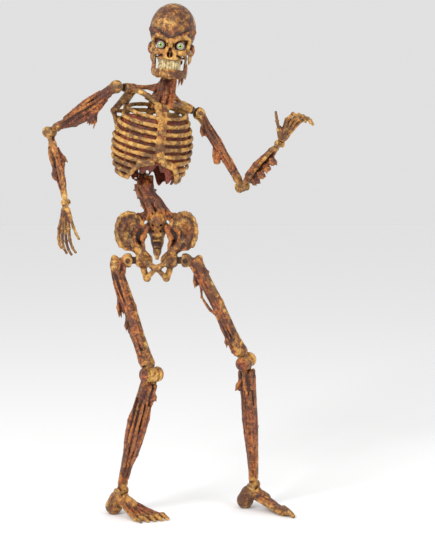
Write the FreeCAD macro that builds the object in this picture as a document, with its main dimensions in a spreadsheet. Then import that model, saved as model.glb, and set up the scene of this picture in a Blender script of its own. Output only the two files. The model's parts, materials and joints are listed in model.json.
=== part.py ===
import FreeCAD, Part
import math
import os
from FreeCAD import Matrix, Placement, Rotation, Vector

# A life-size posable skeleton figure in a rotting finish, standing on its two feet.
# Frame: +Z up, the figure faces -Y, "left" and "right" are the sides seen from in front
# of it. Every limb is a moulded bone with a barrel or a fork at each end, a steel pin
# through every joint, and a soft torn sleeve around the shaft. Millimetres.

doc = FreeCAD.newDocument("posable_skeleton")
sheet = doc.addObject("Spreadsheet::Sheet", "dim")

DIMENSIONS = [
    # gaps
    ("running_gap", 0.05, "radial gap between a pin and its bore"),
    ("side_gap", 0.4, "gap between faces that turn past each other"),
    ("seat_gap", 0.3, "gap between a piece and the neighbour that carries it"),
    # stance
    ("hip_center_x", -53, "middle of the pelvis, sideways"),
    ("hip_center_y", -25, "middle of the pelvis, front to back"),
    ("hip_half_spacing", 100, "middle of the pelvis to each hip pin"),
    ("leg_reach", 0.962, "hip to ankle distance of the right leg over its full length"),
    ("ankle_height", 88, "ankle pin above the sole"),
    ("left_ankle_x", -184, ""),
    ("left_ankle_y", -28, ""),
    ("right_ankle_x", 291, ""),
    ("right_ankle_y", 50, ""),
    ("left_knee_heading", 35, "direction the knee points, from straight ahead to the right"),
    ("right_knee_heading", 60, ""),
    ("left_foot_heading", 56, "direction the toes point, from straight ahead to the right"),
    ("right_foot_heading", 63, ""),
    # legs
    ("thigh_length", 415, "hip pin to knee pin"),
    ("shin_length", 485, "knee pin to ankle pin"),
    ("femur_neck_length", 44, "hip pin out to the trochanter"),
    ("femur_neck_drop", 14, ""),
    ("trochanter_radius", 25, ""),
    ("thigh_top_radius", 18, ""),
    ("thigh_end_radius", 16, ""),
    ("shin_top_radius", 22, ""),
    ("shin_end_radius", 10, ""),
    ("knee_barrel_radius", 27, ""),
    ("knee_barrel_half_width", 19, ""),
    ("knee_cheek", 9, "thickness of each fork cheek"),
    ("knee_pin_radius", 5, ""),
    ("ankle_barrel_radius", 17, ""),
    ("ankle_barrel_half_width", 17, ""),
    ("ankle_cheek", 7, ""),
    ("ankle_pin_radius", 4, ""),
    # arms
    ("upper_arm_length", 306, "shoulder pin to elbow pin"),
    ("forearm_length", 252, "elbow pin to wrist pin"),
    ("upper_arm_top_radius", 15, ""),
    ("upper_arm_end_radius", 11, ""),
    ("forearm_top_radius", 15, ""),
    ("forearm_end_radius", 8, ""),
    ("elbow_barrel_radius", 20, ""),
    ("elbow_barrel_half_width", 13, ""),
    ("elbow_cheek", 7, ""),
    ("elbow_pin_radius", 4, ""),
    ("wrist_barrel_radius", 12, ""),
    ("wrist_barrel_half_width", 9, ""),
    ("wrist_cheek", 5, ""),
    ("wrist_pin_radius", 3, ""),
    # two-axis joints: hip, shoulder and neck
    ("hip_ball_radius", 26, ""),
    ("hip_tongue", 12, "thickness of the swivel's tongue"),
    ("hip_eye_radius", 15, ""),
    ("hip_stub_radius", 9, ""),
    ("hip_stub_length", 20, ""),
    ("hip_flange_radius", 17, ""),
    ("shoulder_ball_radius", 23, ""),
    ("shoulder_tongue", 10, ""),
    ("shoulder_eye_radius", 13, ""),
    ("shoulder_stub_radius", 8, ""),
    ("shoulder_stub_length", 24, ""),
    ("shoulder_flange_radius", 14, ""),
    ("neck_ball_radius", 21, ""),
    ("neck_tongue", 9, ""),
    ("neck_eye_radius", 11, ""),
    ("neck_stub_radius", 7, ""),
    ("neck_stub_length", 26, ""),
    ("neck_flange_radius", 13, ""),
    ("flange_thickness", 4, ""),
    ("pin_head_factor", 1.8, "pin head radius over pin radius"),
    ("pin_head_height", 2.5, ""),
    # chest
    ("chest_x", -66, "middle of the rib cage, sideways"),
    ("chest_y", -35, ""),
    ("chest_above_hips", 400, "middle of the rib cage above the hip pins"),
    ("chest_turn", 20, "the chest turns to the right of straight ahead"),
    ("chest_lean", 7, "and leans to the right"),
    ("chest_half_width", 140, "to the middle of the ribs"),
    ("chest_half_depth", 95, ""),
    ("chest_half_height", 176, ""),
    ("rib_radius", 6.5, ""),
    ("rib_tilt", 18, "ribs fall towards the front"),
    ("top_rib_height", 122, "top rib's plane above the middle of the cage"),
    ("rib_spacing", 25, ""),
    ("spine_radius", 17, ""),
    ("spine_seat_radius", 20, "the round seats at the column's two ends"),
    ("sternum_half_width", 15, ""),
    ("sternum_half_thickness", 4.5, ""),
    ("sternum_top_knob", 18, "radius of the knob that carries the collar bones"),
    ("lining_wall", 4, ""),
    ("collar_bone_radius", 8, ""),
    ("shoulder_boss_radius", 17, ""),
    ("shoulder_boss_length", 27, ""),
    ("blade_height", 118, ""),
    ("blade_width", 78, ""),
    ("blade_thickness", 8, ""),
    # pelvis
    ("wing_half_width", 50, ""),
    ("wing_half_height", 72, ""),
    ("wing_half_thickness", 13, ""),
    ("wing_turn", 24, ""),
    ("ring_radius", 62, ""),
    ("ring_tube_radius", 12, ""),
    ("sacrum_height", 118, ""),
    ("sacrum_top_width", 84, ""),
    ("sacrum_depth", 34, ""),
    ("lumbar_radius", 19, ""),
    ("lumbar_seat_radius", 22, ""),
    # head
    ("head_x", -4, "middle of the skull base"),
    ("head_y", -22, ""),
    ("head_above_hips", 672, ""),
    ("head_roll", 5, "the crown tips to the right"),
    ("skull_half_width", 80, ""),
    ("skull_half_depth", 98, ""),
    ("skull_half_height", 90, ""),
    ("skull_center_height", 126, "above the skull base"),
    ("skull_wall", 5, ""),
    ("face_half_width", 52, ""),
    ("face_half_depth", 42, ""),
    ("face_half_height", 66, ""),
    ("eye_radius", 15, ""),
    ("eye_half_spacing", 33, ""),
    ("tooth_radius", 4.4, ""),
    ("tooth_length", 16, ""),
    ("jaw_hinge_half_width", 48, ""),
    ("jaw_plate", 7, "thickness of the jaw's upright plates"),
    ("jaw_bow_radius", 50, ""),
    ("jaw_tube_radius", 13, ""),
    ("jaw_pin_radius", 3, ""),
    ("jaw_boss_radius", 12, "skull's boss that each jaw pin sits in"),
    ("neck_radius", 16, ""),
    # hands and feet
    ("palm_length", 92, ""),
    ("palm_half_width", 32, ""),
    ("palm_half_thickness", 10, ""),
    ("finger_length", 96, "middle finger; the others are shares of it"),
    ("finger_radius", 7.5, ""),
    ("foot_length", 245, "heel to the tip of the big toe"),
    ("heel_back", 50, "ankle pin to the back of the heel"),
    ("foot_half_width", 40, "across the ball of the foot"),
    ("toe_radius", 10, ""),
    ("heel_radius", 29, ""),
    # torn sleeves
    ("thigh_sleeve_wall", 13, ""),
    ("shin_sleeve_wall", 12, ""),
    ("upper_arm_sleeve_wall", 11, ""),
    ("forearm_sleeve_wall", 11, ""),
    ("waist_sleeve_wall", 12, ""),
]
for row, (alias, number, note) in enumerate(DIMENSIONS, start=1):
    sheet.set("A%d" % row, note)
    sheet.set("B%d" % row, str(number))
    sheet.setAlias("B%d" % row, alias)
doc.recompute()

SIZE = {alias: float(number) for alias, number, note in DIMENSIONS}
SIDES = {"left": -1, "right": 1}
UP = Vector(0, 0, 1)
FRONT = Vector(0, -1, 0)
parts_made = []


def cell(expression):
    """Prefix every alias in an expression with the sheet's name."""
    words = []
    for word in expression.replace("(", " ( ").replace(")", " ) ").split():
        words.append("dim." + word if word in SIZE else word)
    return " ".join(words)


def number(expression):
    """The value of an expression of aliases, read from the sheet."""
    result = sheet.evalExpression(expression)
    return float(getattr(result, "Value", result))


def primitive(kind, name, sizes, place=None):
    """A Part primitive whose sizes are bound to expressions of aliases."""
    solid = doc.addObject("Part::" + kind, name)
    for key, expression in sizes.items():
        solid.setExpression(key, cell(str(expression)))
    solid.Placement = place or Placement()
    return solid


def fuse(name, pieces):
    whole = doc.addObject("Part::MultiFuse", name)
    whole.Shapes = pieces
    whole.Refine = False
    return whole


def cut(name, base, tools):
    """Base less each tool in turn."""
    rest = base
    for tool in tools:
        smaller = doc.addObject("Part::Cut", name)
        smaller.Base = rest
        smaller.Tool = tool
        smaller.Refine = False
        rest = smaller
    return rest


def group(name, pieces):
    whole = doc.addObject("Part::Compound", name)
    whole.Links = pieces
    return whole


def finish(label, solid, place=None):
    """Name a finished sub-part and put it in its place."""
    solid.Label = label
    if place is not None:
        solid.Placement = place
    parts_made.append((label, solid))
    return solid


def unit(vector):
    return Vector(vector).normalize()


def axes_place(origin, z_axis, x_axis):
    """Placement with local Z on z_axis and local X as near x_axis as it can be."""
    z = unit(z_axis)
    y = unit(z.cross(x_axis))
    x = y.cross(z)
    turn = Matrix(x.x, y.x, z.x, 0, x.y, y.y, z.y, 0, x.z, y.z, z.z, 0, 0, 0, 0, 1)
    return Placement(Vector(origin), Rotation(Placement(turn).Rotation))


def along(origin, direction):
    """Placement with local Z along a direction, whatever the turn about it."""
    return Placement(Vector(origin), Rotation(UP, Vector(direction)))


def heading(degrees):
    """Level direction, measured from straight ahead towards the right side."""
    angle = math.radians(degrees)
    return Vector(math.sin(angle), -math.cos(angle), 0)


def bar(name, start, end, start_radius, end_radius):
    """A tapered round bar from point to point; the radii are aliases."""
    reach = Vector(end) - Vector(start)
    shaft = primitive("Cone", name, {"Radius1": start_radius, "Radius2": end_radius})
    shaft.Height = reach.Length
    shaft.Placement = along(start, reach)
    return shaft


def ball(name, center, radius, turn=None):
    return primitive("Sphere", name, {"Radius": radius}, Placement(Vector(center), turn or Rotation()))


def joint_ball(name, center, radius, axis, pin_axis, shaft_way):
    """A limb's ball, its poles on the pin and its seam away from the slot and the shaft."""
    seam = unit(axis - shaft_way)
    frame = axes_place(center, pin_axis, seam)
    return primitive("Sphere", name, {"Radius": radius}, frame)


def cross_cylinder(name, center, axis, radius, half_width):
    """A cylinder of the stated half width, centred on a joint, along its axis."""
    start = Vector(center) - unit(axis) * number(half_width)
    sizes = {"Radius": radius, "Height": "2 * ( " + half_width + " )"}
    return primitive("Cylinder", name, sizes, along(start, axis))


# ---------------------------------------------------------------- stance and joints


def bent_limb(top, bottom, upper_length, lower_length, bend_heading):
    """The middle joint of two bars from top to bottom that bend towards a heading."""
    line = bottom - top
    distance = line.Length
    down = unit(line)
    share = (upper_length ** 2 + distance ** 2 - lower_length ** 2) / (2 * distance)
    offset = math.sqrt(upper_length ** 2 - share ** 2)
    forward = heading(bend_heading)
    sideways = unit(forward - down * forward.dot(down))
    return top + down * share + sideways * offset


LEG_FULL = SIZE["thigh_length"] + SIZE["shin_length"]
RIGHT_HIP_X = SIZE["hip_center_x"] + SIZE["hip_half_spacing"]
STRIDE = math.hypot(SIZE["right_ankle_x"] - RIGHT_HIP_X, SIZE["right_ankle_y"] - SIZE["hip_center_y"])
HIP_HEIGHT = SIZE["ankle_height"] + math.sqrt((SIZE["leg_reach"] * LEG_FULL) ** 2 - STRIDE ** 2)
HIP_CENTER = Vector(SIZE["hip_center_x"], SIZE["hip_center_y"], HIP_HEIGHT)

hip = {}
knee = {}
ankle = {}
for side, sign in SIDES.items():
    hip[side] = HIP_CENTER + Vector(sign * SIZE["hip_half_spacing"], 0, 0)
    ankle[side] = Vector(SIZE[side + "_ankle_x"], SIZE[side + "_ankle_y"], SIZE["ankle_height"])
    knee[side] = bent_limb(
        hip[side], ankle[side], SIZE["thigh_length"], SIZE["shin_length"], SIZE[side + "_knee_heading"]
    )

# The rib cage's own frame: X across, -Y to its front, +Z along the body.
CHEST = Placement(
    Vector(SIZE["chest_x"], SIZE["chest_y"], HIP_HEIGHT + SIZE["chest_above_hips"]),
    Rotation(Vector(0, 1, 0), SIZE["chest_lean"]) * Rotation(UP, SIZE["chest_turn"]),
)
HEAD = Placement(
    Vector(SIZE["head_x"], SIZE["head_y"], HIP_HEIGHT + SIZE["head_above_hips"]),
    Rotation(Vector(0, 1, 0), SIZE["head_roll"]),
)

# Shoulder pins from the middle of the chest, and the way each arm is held.
shoulder = {
    "left": CHEST.Base + Vector(-116, -65, 200),
    "right": CHEST.Base + Vector(159, 74, 113),
}
SHOULDER_AXIS = {"left": unit(Vector(-0.86, -0.50, 0.08)), "right": unit(Vector(0.84, 0.36, -0.40))}
UPPER_ARM_WAY = {"left": unit(Vector(-0.80, 0.34, -0.50)), "right": unit(Vector(0.50, -0.24, -0.83))}
FOREARM_WAY = {"left": unit(Vector(0.22, -0.08, -0.97)), "right": unit(Vector(0.48, -0.65, 0.59))}
HAND_WAY = {"left": unit(Vector(-0.06, -0.12, -0.99)), "right": unit(Vector(0.45, -0.35, 0.82))}
HAND_AXIS_HINT = {"left": Vector(0.75, -0.65, 0), "right": Vector(-0.7, -0.6, 0.2)}

elbow = {}
wrist = {}
for side in SIDES:
    elbow[side] = shoulder[side] + UPPER_ARM_WAY[side] * SIZE["upper_arm_length"]
    wrist[side] = elbow[side] + FOREARM_WAY[side] * SIZE["forearm_length"]


def hinge_axis(upper, lower):
    """Axis of a hinge between two bars: a positive turn bends the lower one further."""
    return unit(upper.cross(lower))


knee_axis = {}
elbow_axis = {}
ankle_axis = {}
wrist_axis = {}
for side in SIDES:
    knee_axis[side] = hinge_axis(knee[side] - hip[side], ankle[side] - knee[side])
    elbow_axis[side] = hinge_axis(UPPER_ARM_WAY[side], FOREARM_WAY[side])
    toes = heading(SIZE[side + "_foot_heading"])
    ankle_axis[side] = unit(toes.cross(UP))
    hint = HAND_AXIS_HINT[side]
    across = hint - FOREARM_WAY[side] * hint.dot(FOREARM_WAY[side])
    wrist_axis[side] = unit(across)


# ---------------------------------------------------------------- joint hardware


def barrel_joint_cut(name, center, axis, joint):
    """The room a fork leaves for its barrel."""
    room = joint + "_barrel_radius + 2.5 * side_gap"
    return cross_cylinder(name + "_room", center, axis, room, joint + "_barrel_half_width + side_gap")


def pin_bore(name, center, axis, joint, half_width):
    return cross_cylinder(name + "_bore", center, axis, joint + "_pin_radius + running_gap", half_width)


def hinge_pin(side, joint, center, axis):
    """A steel pin with a flat head at each end, held in the fork's cheeks."""
    name = joint + "_pin_" + side
    half = joint + "_barrel_half_width + side_gap + " + joint + "_cheek"
    shank = cross_cylinder(name + "_shank", center, axis, joint + "_pin_radius", half)
    heads = []
    for end in (-1, 1):
        start = center + axis * (end * number(half))
        sizes = {"Radius": "pin_head_factor * " + joint + "_pin_radius", "Height": "pin_head_height"}
        heads.append(primitive("Cylinder", name + "_head", sizes, along(start, axis * end)))
    finish(name, fuse(name, [shank] + heads))


def swivel_reach(joint):
    """From a two-axis joint's pin back to the face its swivel turns on."""
    return number(joint + "_ball_radius + 2.5 * side_gap + flange_thickness + side_gap")


def pin_direction(axis):
    """A two-axis joint's pin lies level, square to its swivel axis, pointing forward."""
    level = unit(Vector(axis).cross(UP))
    return level if level.dot(FRONT) > 0 else level * -1


def swivel(label, joint, center, axis, pin_axis):
    """Stub, flange and flat tongue: turns in its socket and carries the limb's pin."""
    reach = swivel_reach(joint)
    face = center - axis * (reach - SIZE["side_gap"])
    stub_start = face - axis * (SIZE["side_gap"] + SIZE[joint + "_stub_length"])
    stub_sizes = {
        "Radius": joint + "_stub_radius",
        "Height": joint + "_stub_length + side_gap",
    }
    stub = primitive("Cylinder", label + "_stub", stub_sizes, along(stub_start, axis))
    flange_sizes = {"Radius": joint + "_flange_radius", "Height": "flange_thickness"}
    flange = primitive("Cylinder", label + "_flange", flange_sizes, along(face, axis))
    eye = cross_cylinder(
        label + "_eye", center, pin_axis, joint + "_eye_radius", joint + "_tongue / 2"
    )
    web_sizes = {
        "Length": joint + "_tongue",
        "Width": "1.6 * " + joint + "_eye_radius",
        "Height": joint + "_ball_radius + 2.5 * side_gap + flange_thickness / 2",
    }
    web_frame = axes_place(face + axis * SIZE["flange_thickness"] * 0.5, axis, pin_axis)
    corner = Vector(-SIZE[joint + "_tongue"] / 2, -0.8 * SIZE[joint + "_eye_radius"], 0)
    web = primitive("Box", label + "_web", web_sizes, web_frame * Placement(corner, Rotation()))
    bore = cross_cylinder(
        label + "_bore", center, pin_axis, joint_pin(joint) + " + running_gap", joint + "_tongue"
    )
    body = fuse(label + "_body", [stub, flange, eye, web])
    finish(label, cut(label, body, [bore]))


def joint_pin(joint):
    """Alias of the pin radius of a two-axis joint."""
    return {"hip": "knee_pin_radius", "shoulder": "elbow_pin_radius", "neck": "wrist_pin_radius"}[joint]


def ball_pin(label, joint, center, pin_axis):
    """The pin across a two-axis joint, with flat heads on the ball's two cheeks."""
    half = joint + "_ball_radius * 0.9"
    shank = cross_cylinder(label + "_shank", center, pin_axis, joint_pin(joint), half)
    heads = []
    for end in (-1, 1):
        start = center + pin_axis * (end * number(half))
        sizes = {"Radius": "pin_head_factor * " + joint_pin(joint), "Height": "pin_head_height"}
        heads.append(primitive("Cylinder", label + "_head", sizes, along(start, pin_axis * end)))
    finish(label, fuse(label, [shank] + heads))


def ball_tools(label, joint, center, axis, pin_axis, tilts):
    """What is cut from a limb's ball: the tongue's room, the pin's bore, two flats."""
    tools = []
    slot = joint + "_tongue / 2 + side_gap"
    tools.append(
        cross_cylinder(label + "_eye_room", center, pin_axis, joint + "_eye_radius + side_gap", slot)
    )
    for tilt in tilts:
        turned = Rotation(pin_axis, tilt).multVec(axis * -1)
        sizes = {
            "Length": "2 * ( " + slot + " )",
            "Width": "2 * ( " + joint + "_eye_radius * 0.8 + side_gap )",
            "Height": "1.5 * " + joint + "_ball_radius",
        }
        base = axes_place(center, turned, pin_axis)
        shift = Vector(-number(slot), -number(joint + "_eye_radius * 0.8 + side_gap"), 0)
        tools.append(primitive("Box", label + "_slot", sizes, base * Placement(shift, Rotation())))
    tools.append(
        cross_cylinder(
            label + "_pin_room", center, pin_axis, joint_pin(joint) + " + running_gap", joint + "_ball_radius * 1.2"
        )
    )
    for end in (-1, 1):
        start = center + pin_axis * (end * number(joint + "_ball_radius * 0.9"))
        sizes = {"Radius": joint + "_ball_radius", "Height": joint + "_ball_radius"}
        tools.append(primitive("Cylinder", label + "_flat", sizes, along(start, pin_axis * end)))
    return tools


def socket_bore(label, joint, center, axis):
    """The blind hole for a swivel's stub, from its face inwards."""
    start = center - axis * swivel_reach(joint)
    sizes = {
        "Radius": joint + "_stub_radius + running_gap",
        "Height": joint + "_stub_length + side_gap",
    }
    return primitive("Cylinder", label + "_socket", sizes, along(start, axis * -1))


def face_room(label, joint, center, axis):
    """Clears everything in front of a socket's face, where the ball and flange turn."""
    start = center - axis * swivel_reach(joint)
    room = primitive("Cylinder", label + "_room", {"Radius": joint + "_ball_radius + 2"}, along(start, axis))
    room.Height = 3 * SIZE[joint + "_ball_radius"]
    return room


def sleeve(label, start, end, start_radius, end_radius, wall, first, last):
    """A soft torn sleeve around part of a tapered shaft, one seat gap off it."""
    reach = Vector(end) - Vector(start)
    taper = "( ( " + end_radius + " ) - ( " + start_radius + " ) )"
    low = start_radius + " + " + taper + " * " + str(first)
    high = start_radius + " + " + taper + " * " + str(last)
    place = along(Vector(start) + reach * first, reach)
    outer_sizes = {
        "Radius1": low + " + seat_gap + " + wall,
        "Radius2": high + " + seat_gap + " + wall + " * 0.75",
    }
    outer = primitive("Cone", label + "_outer", outer_sizes, place)
    inner_sizes = {"Radius1": low + " + seat_gap", "Radius2": high + " + seat_gap"}
    inner = primitive("Cone", label + "_inner", inner_sizes, place)
    outer.Height = reach.Length * (last - first)
    inner.Height = reach.Length * (last - first)
    finish(label, cut(label, outer, [inner]))


# ---------------------------------------------------------------- torso


def pelvis():
    """One moulding: two wings, the front ring, the hip bosses and the sacrum."""
    frame = Placement(HIP_CENTER, Rotation())
    pieces = []
    tools = []
    for side, sign in SIDES.items():
        wing_sizes = {
            "Radius1": "wing_half_height",
            "Radius2": "wing_half_width",
            "Radius3": "wing_half_thickness",
        }
        wing_spot = Vector(sign * 92, 4, 96)
        wing_turn = Rotation(UP, -sign * SIZE["wing_turn"]) * Rotation(Vector(0, 1, 0), sign * 12)
        wing = primitive("Ellipsoid", "wing_" + side, wing_sizes, frame * Placement(wing_spot, wing_turn))
        face = SIZE["hip_half_spacing"] - swivel_reach("hip")
        boss_start = frame.Base + Vector(sign * (face - 26), 0, 0)
        boss = primitive("Cylinder", "hip_boss_" + side, {"Radius": "hip_ball_radius"})
        boss.Height = 26
        boss.Placement = along(boss_start, Vector(sign, 0, 0))
        bracket = bar(
            "wing_root_" + side, boss_start, frame.Base + wing_spot, "hip_ball_radius - 4", "wing_half_thickness"
        )
        pieces += [wing, boss, bracket]
        tools.append(socket_bore("hip_" + side, "hip", hip[side], Vector(sign, 0, 0)))
        tools.append(face_room("hip_" + side, "hip", hip[side], Vector(sign, 0, 0)))
        foot = frame.Base + Vector(sign * 34, -6, -62)
        pieces.append(bar("seat_bone_" + side, boss_start, foot, "ring_tube_radius", "ring_tube_radius - 2"))
        pieces.append(ball("seat_knob_" + side, foot, "ring_tube_radius + 3"))
        yoke_end = frame.Base + Vector(sign * 20, 36, 108)
        pieces.append(bar("wing_tie_" + side, frame.Base + wing_spot, yoke_end, "wing_half_thickness", "wing_half_thickness"))
    ring_sizes = {"Radius1": "ring_radius", "Radius2": "ring_tube_radius"}
    ring_place = frame * Placement(Vector(0, -14, 22), Rotation(Vector(1, 0, 0), 78))
    pieces.append(primitive("Torus", "front_ring", ring_sizes, ring_place))
    wedge_sizes = {
        "Xmin": "sacrum_top_width / -2",
        "Xmax": "sacrum_top_width / 2",
        "Ymin": "0",
        "Ymax": "sacrum_height",
        "Zmin": "0",
        "Zmax": "sacrum_depth",
        "X2min": "-12",
        "X2max": "12",
        "Z2min": "sacrum_depth * 0.3",
        "Z2max": "sacrum_depth * 0.7",
    }
    sacrum_place = frame * Placement(Vector(0, 22, 150), Rotation(Vector(1, 0, 0), -90))
    pieces.append(primitive("Wedge", "sacrum", wedge_sizes, sacrum_place))
    pieces.append(ball("lumbar_seat", lumbar_low, "lumbar_seat_radius"))
    finish("pelvis", cut("pelvis", fuse("pelvis_body", pieces), tools))


def rib_plane(height):
    """Where a tilted plane at this height cuts the rib cage's ellipsoid."""
    width = SIZE["chest_half_width"]
    depth = SIZE["chest_half_depth"]
    tall = SIZE["chest_half_height"]
    tilt = math.radians(SIZE["rib_tilt"])
    slope = math.cos(tilt) ** 2 / depth ** 2 + math.sin(tilt) ** 2 / tall ** 2
    shift = -height * math.sin(tilt) / (tall ** 2 * slope)
    scale = 1 - height ** 2 / tall ** 2 + slope * shift ** 2
    return shift, width * math.sqrt(scale), math.sqrt(scale / slope)


def arc_sweep(name, radii, angles, place, profile_sizes):
    """A bar along part of an ellipse, with an elliptical section."""
    long_radius, short_radius = radii
    path = doc.addObject("Part::Ellipse", name + "_path")
    path.MajorRadius = long_radius
    path.MinorRadius = short_radius
    path.Angle1 = math.degrees(angles[0])
    path.Angle2 = math.degrees(angles[1])
    path.Placement = place
    start = Vector(long_radius * math.cos(angles[0]), short_radius * math.sin(angles[0]), 0)
    tangent = Vector(-long_radius * math.sin(angles[0]), short_radius * math.cos(angles[0]), 0)
    section = doc.addObject("Part::Ellipse", name + "_section")
    section.setExpression("MajorRadius", cell(profile_sizes[0]))
    section.setExpression("MinorRadius", cell(profile_sizes[1]))
    section.Placement = place * axes_place(start, tangent, UP)
    bone = doc.addObject("Part::Sweep", name)
    bone.Sections = [section]
    bone.Spine = (path, ["Edge1"])
    bone.Solid = True
    return bone


RIB_COUNT = 10
JOINED_RIBS = 7


def ribs(side):
    """Ten separate ribs from the spine forwards; the top seven reach the breastbone."""
    sign = SIDES[side]
    bones = []
    for index in range(RIB_COUNT):
        height = SIZE["top_rib_height"] - index * SIZE["rib_spacing"]
        shift, half_width, half_depth = rib_plane(height)
        tilt = Rotation(Vector(1, 0, 0), SIZE["rib_tilt"])
        place = Placement(Vector(0, 0, height), tilt) * Placement(Vector(0, shift, 0), Rotation())
        back_gap = number("spine_radius + seat_gap + rib_radius * 0.05")
        back = math.acos(back_gap / half_width)
        if index < JOINED_RIBS:
            front_gap = number("sternum_half_width + seat_gap + rib_radius * 0.1")
            front = math.acos(front_gap / half_width)
        else:
            front = math.radians(62 - 10 * (index - JOINED_RIBS))
        if sign > 0:
            place = place * Placement(Vector(), Rotation(UP, 180))
            angles = (math.pi - front, math.pi + back)
        else:
            angles = (math.pi - back, math.pi + front)
        sizes = ("rib_radius", "rib_radius * 0.8")
        bones.append(arc_sweep("rib_%s_%d" % (side, index + 1), (half_width, half_depth), angles, place, sizes))
    finish("ribs_" + side, group("ribs_" + side, bones), CHEST)


# The spine and the breastbone run along the back and the front of the same ellipsoid.
SPINE_ANGLES = (math.radians(-57), math.radians(61))
BREAST_ANGLES = (math.radians(-15), math.radians(48))


def chest_point(angle, sign):
    """A point of the cage's middle section: sign +1 at the back and -1 at the front."""
    depth = SIZE["chest_half_depth"] * math.cos(angle)
    return Vector(0, sign * depth, SIZE["chest_half_height"] * math.sin(angle))


def middle_arc(name, angles, sign, profile_sizes):
    """A bar along the cage's middle section, at the back or at the front."""
    frame = axes_place(Vector(), Vector(-sign, 0, 0), UP)
    radii = (SIZE["chest_half_height"], SIZE["chest_half_depth"])
    quarter = math.pi / 2
    return arc_sweep(name, radii, (quarter - angles[1], quarter - angles[0]), frame, profile_sizes)


def thoracic_spine():
    column = middle_arc("back_column", SPINE_ANGLES, 1, ("spine_radius", "spine_radius"))
    knobs = [ball("spine_top", chest_point(SPINE_ANGLES[1], 1), "spine_seat_radius")]
    knobs.append(ball("spine_base", chest_point(SPINE_ANGLES[0], 1), "spine_seat_radius"))
    for index in range(9):
        angle = SPINE_ANGLES[0] + (SPINE_ANGLES[1] - SPINE_ANGLES[0]) * (index + 0.5) / 9
        root = chest_point(angle, 1)
        tip = root + Vector(0, 30, -16)
        knobs.append(bar("spine_process_%d" % index, root, tip, "spine_radius * 0.45", "spine_radius * 0.25"))
    finish("thoracic_spine", fuse("thoracic_spine", [column] + knobs), CHEST)


def sternum():
    plate = middle_arc("breast_plate", BREAST_ANGLES, -1, ("sternum_half_width", "sternum_half_thickness"))
    knob = ball("collar_seat", chest_point(BREAST_ANGLES[1], -1), "sternum_top_knob")
    finish("sternum", fuse("sternum", [plate, knob]), CHEST)


def chest_lining():
    """The dried flesh inside the ribs: a thin open barrel."""
    inset = " - rib_radius * 0.8 - 4 * seat_gap"
    shells = []
    for name, wall in (("lining_outer", ""), ("lining_inner", " - lining_wall")):
        sizes = {
            "Radius1": "chest_half_height" + inset + wall,
            "Radius2": "chest_half_width" + inset + wall,
            "Radius3": "chest_half_depth" + inset + wall,
        }
        shells.append(primitive("Ellipsoid", name, sizes))
    block = 2 * SIZE["chest_half_width"]
    tools = [shells[1]]
    for name, low, high in (("lining_floor", -300, -118), ("lining_top", 92, 300)):
        tool = primitive("Box", name, {"Length": "4 * chest_half_width", "Width": "4 * chest_half_width"})
        tool.Height = high - low
        tool.Placement = Placement(Vector(-block, -block, low), Rotation())
        tools.append(tool)
    slot = primitive(
        "Box",
        "lining_back",
        {"Length": "2 * ( spine_radius + seat_gap )", "Width": "chest_half_depth", "Height": "3 * chest_half_height"},
        Placement(Vector(-number("spine_radius + seat_gap"), 20, -300), Rotation()),
    )
    tools.append(slot)
    finish("chest_lining", cut("chest_lining", shells[0], tools), CHEST)


def collar_bone(side):
    seat = CHEST.multVec(chest_point(BREAST_ANGLES[1], -1))
    boss = shoulder_boss_end(side)
    way = unit(boss - seat)
    start = seat + way * number("sternum_top_knob + seat_gap")
    end = boss - way * number("shoulder_boss_radius + seat_gap")
    label = "collar_bone_" + side
    place = along(start, way)
    shaft = primitive("Cone", label, {"Radius1": "collar_bone_radius", "Radius2": "collar_bone_radius - 1"})
    shaft.Height = (end - start).Length
    finish(label, shaft, place)


def shoulder_boss_end(side):
    reach = swivel_reach("shoulder") + SIZE["shoulder_boss_length"]
    return shoulder[side] - SHOULDER_AXIS[side] * reach


def shoulder_blade(side):
    """Blade, ridge and the boss that the arm's swivel turns in."""
    sign = SIDES[side]
    label = "shoulder_blade_" + side
    axis = SHOULDER_AXIS[side]
    boss_end = shoulder_boss_end(side)
    boss = primitive(
        "Cylinder", label + "_boss", {"Radius": "shoulder_boss_radius", "Height": "shoulder_boss_length"},
        along(boss_end, axis),
    )
    knob = ball(label + "_knob", boss_end, "shoulder_boss_radius")
    body = doc.addObject("PartDesign::Body", label + "_plate")
    sketch = body.newObject("Sketcher::SketchObject", label + "_outline")
    plane = [f for f in body.Origin.OriginFeatures if f.Role == "XY_Plane"][0]
    sketch.AttachmentSupport = [(plane, "")]
    sketch.MapMode = "FlatFace"
    corners = [Vector(0, 0, 0), Vector(SIZE["blade_width"], 0, 0), Vector(0, -SIZE["blade_height"], 0)]
    for index in range(3):
        sketch.addGeometry(Part.LineSegment(corners[index], corners[(index + 1) % 3]), False)
    pad = body.newObject("PartDesign::Pad", label + "_pad")
    pad.Profile = sketch
    pad.setExpression("Length", cell("blade_thickness"))
    out = Vector(sign * 0.55, 0.83, 0)
    spot = Vector(sign * 62, SIZE["chest_half_depth"] * 0.93 + number("rib_radius + 6"), 104)
    across = Vector(sign * 0.83, -0.55, 0)
    up = Vector(0, 0, 1)
    lift = SIZE["blade_thickness"] * (2 if sign > 0 else 1)
    frame = axes_place(spot + out * lift, across.cross(up), across)
    body.Placement = CHEST * frame
    ridge_end = (CHEST * frame).multVec(Vector(SIZE["blade_width"] * 0.45, -14, SIZE["blade_thickness"] / 2))
    ridge = bar(label + "_ridge", boss_end, ridge_end, "shoulder_boss_radius * 0.6", "blade_thickness * 0.9")
    whole = fuse(label + "_body", [boss, knob, body, ridge])
    tools = [socket_bore(label, "shoulder", shoulder[side], axis)]
    tools.append(face_room(label, "shoulder", shoulder[side], axis))
    finish(label, cut(label, whole, tools))


# ---------------------------------------------------------------- neck, head and jaw

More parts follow.
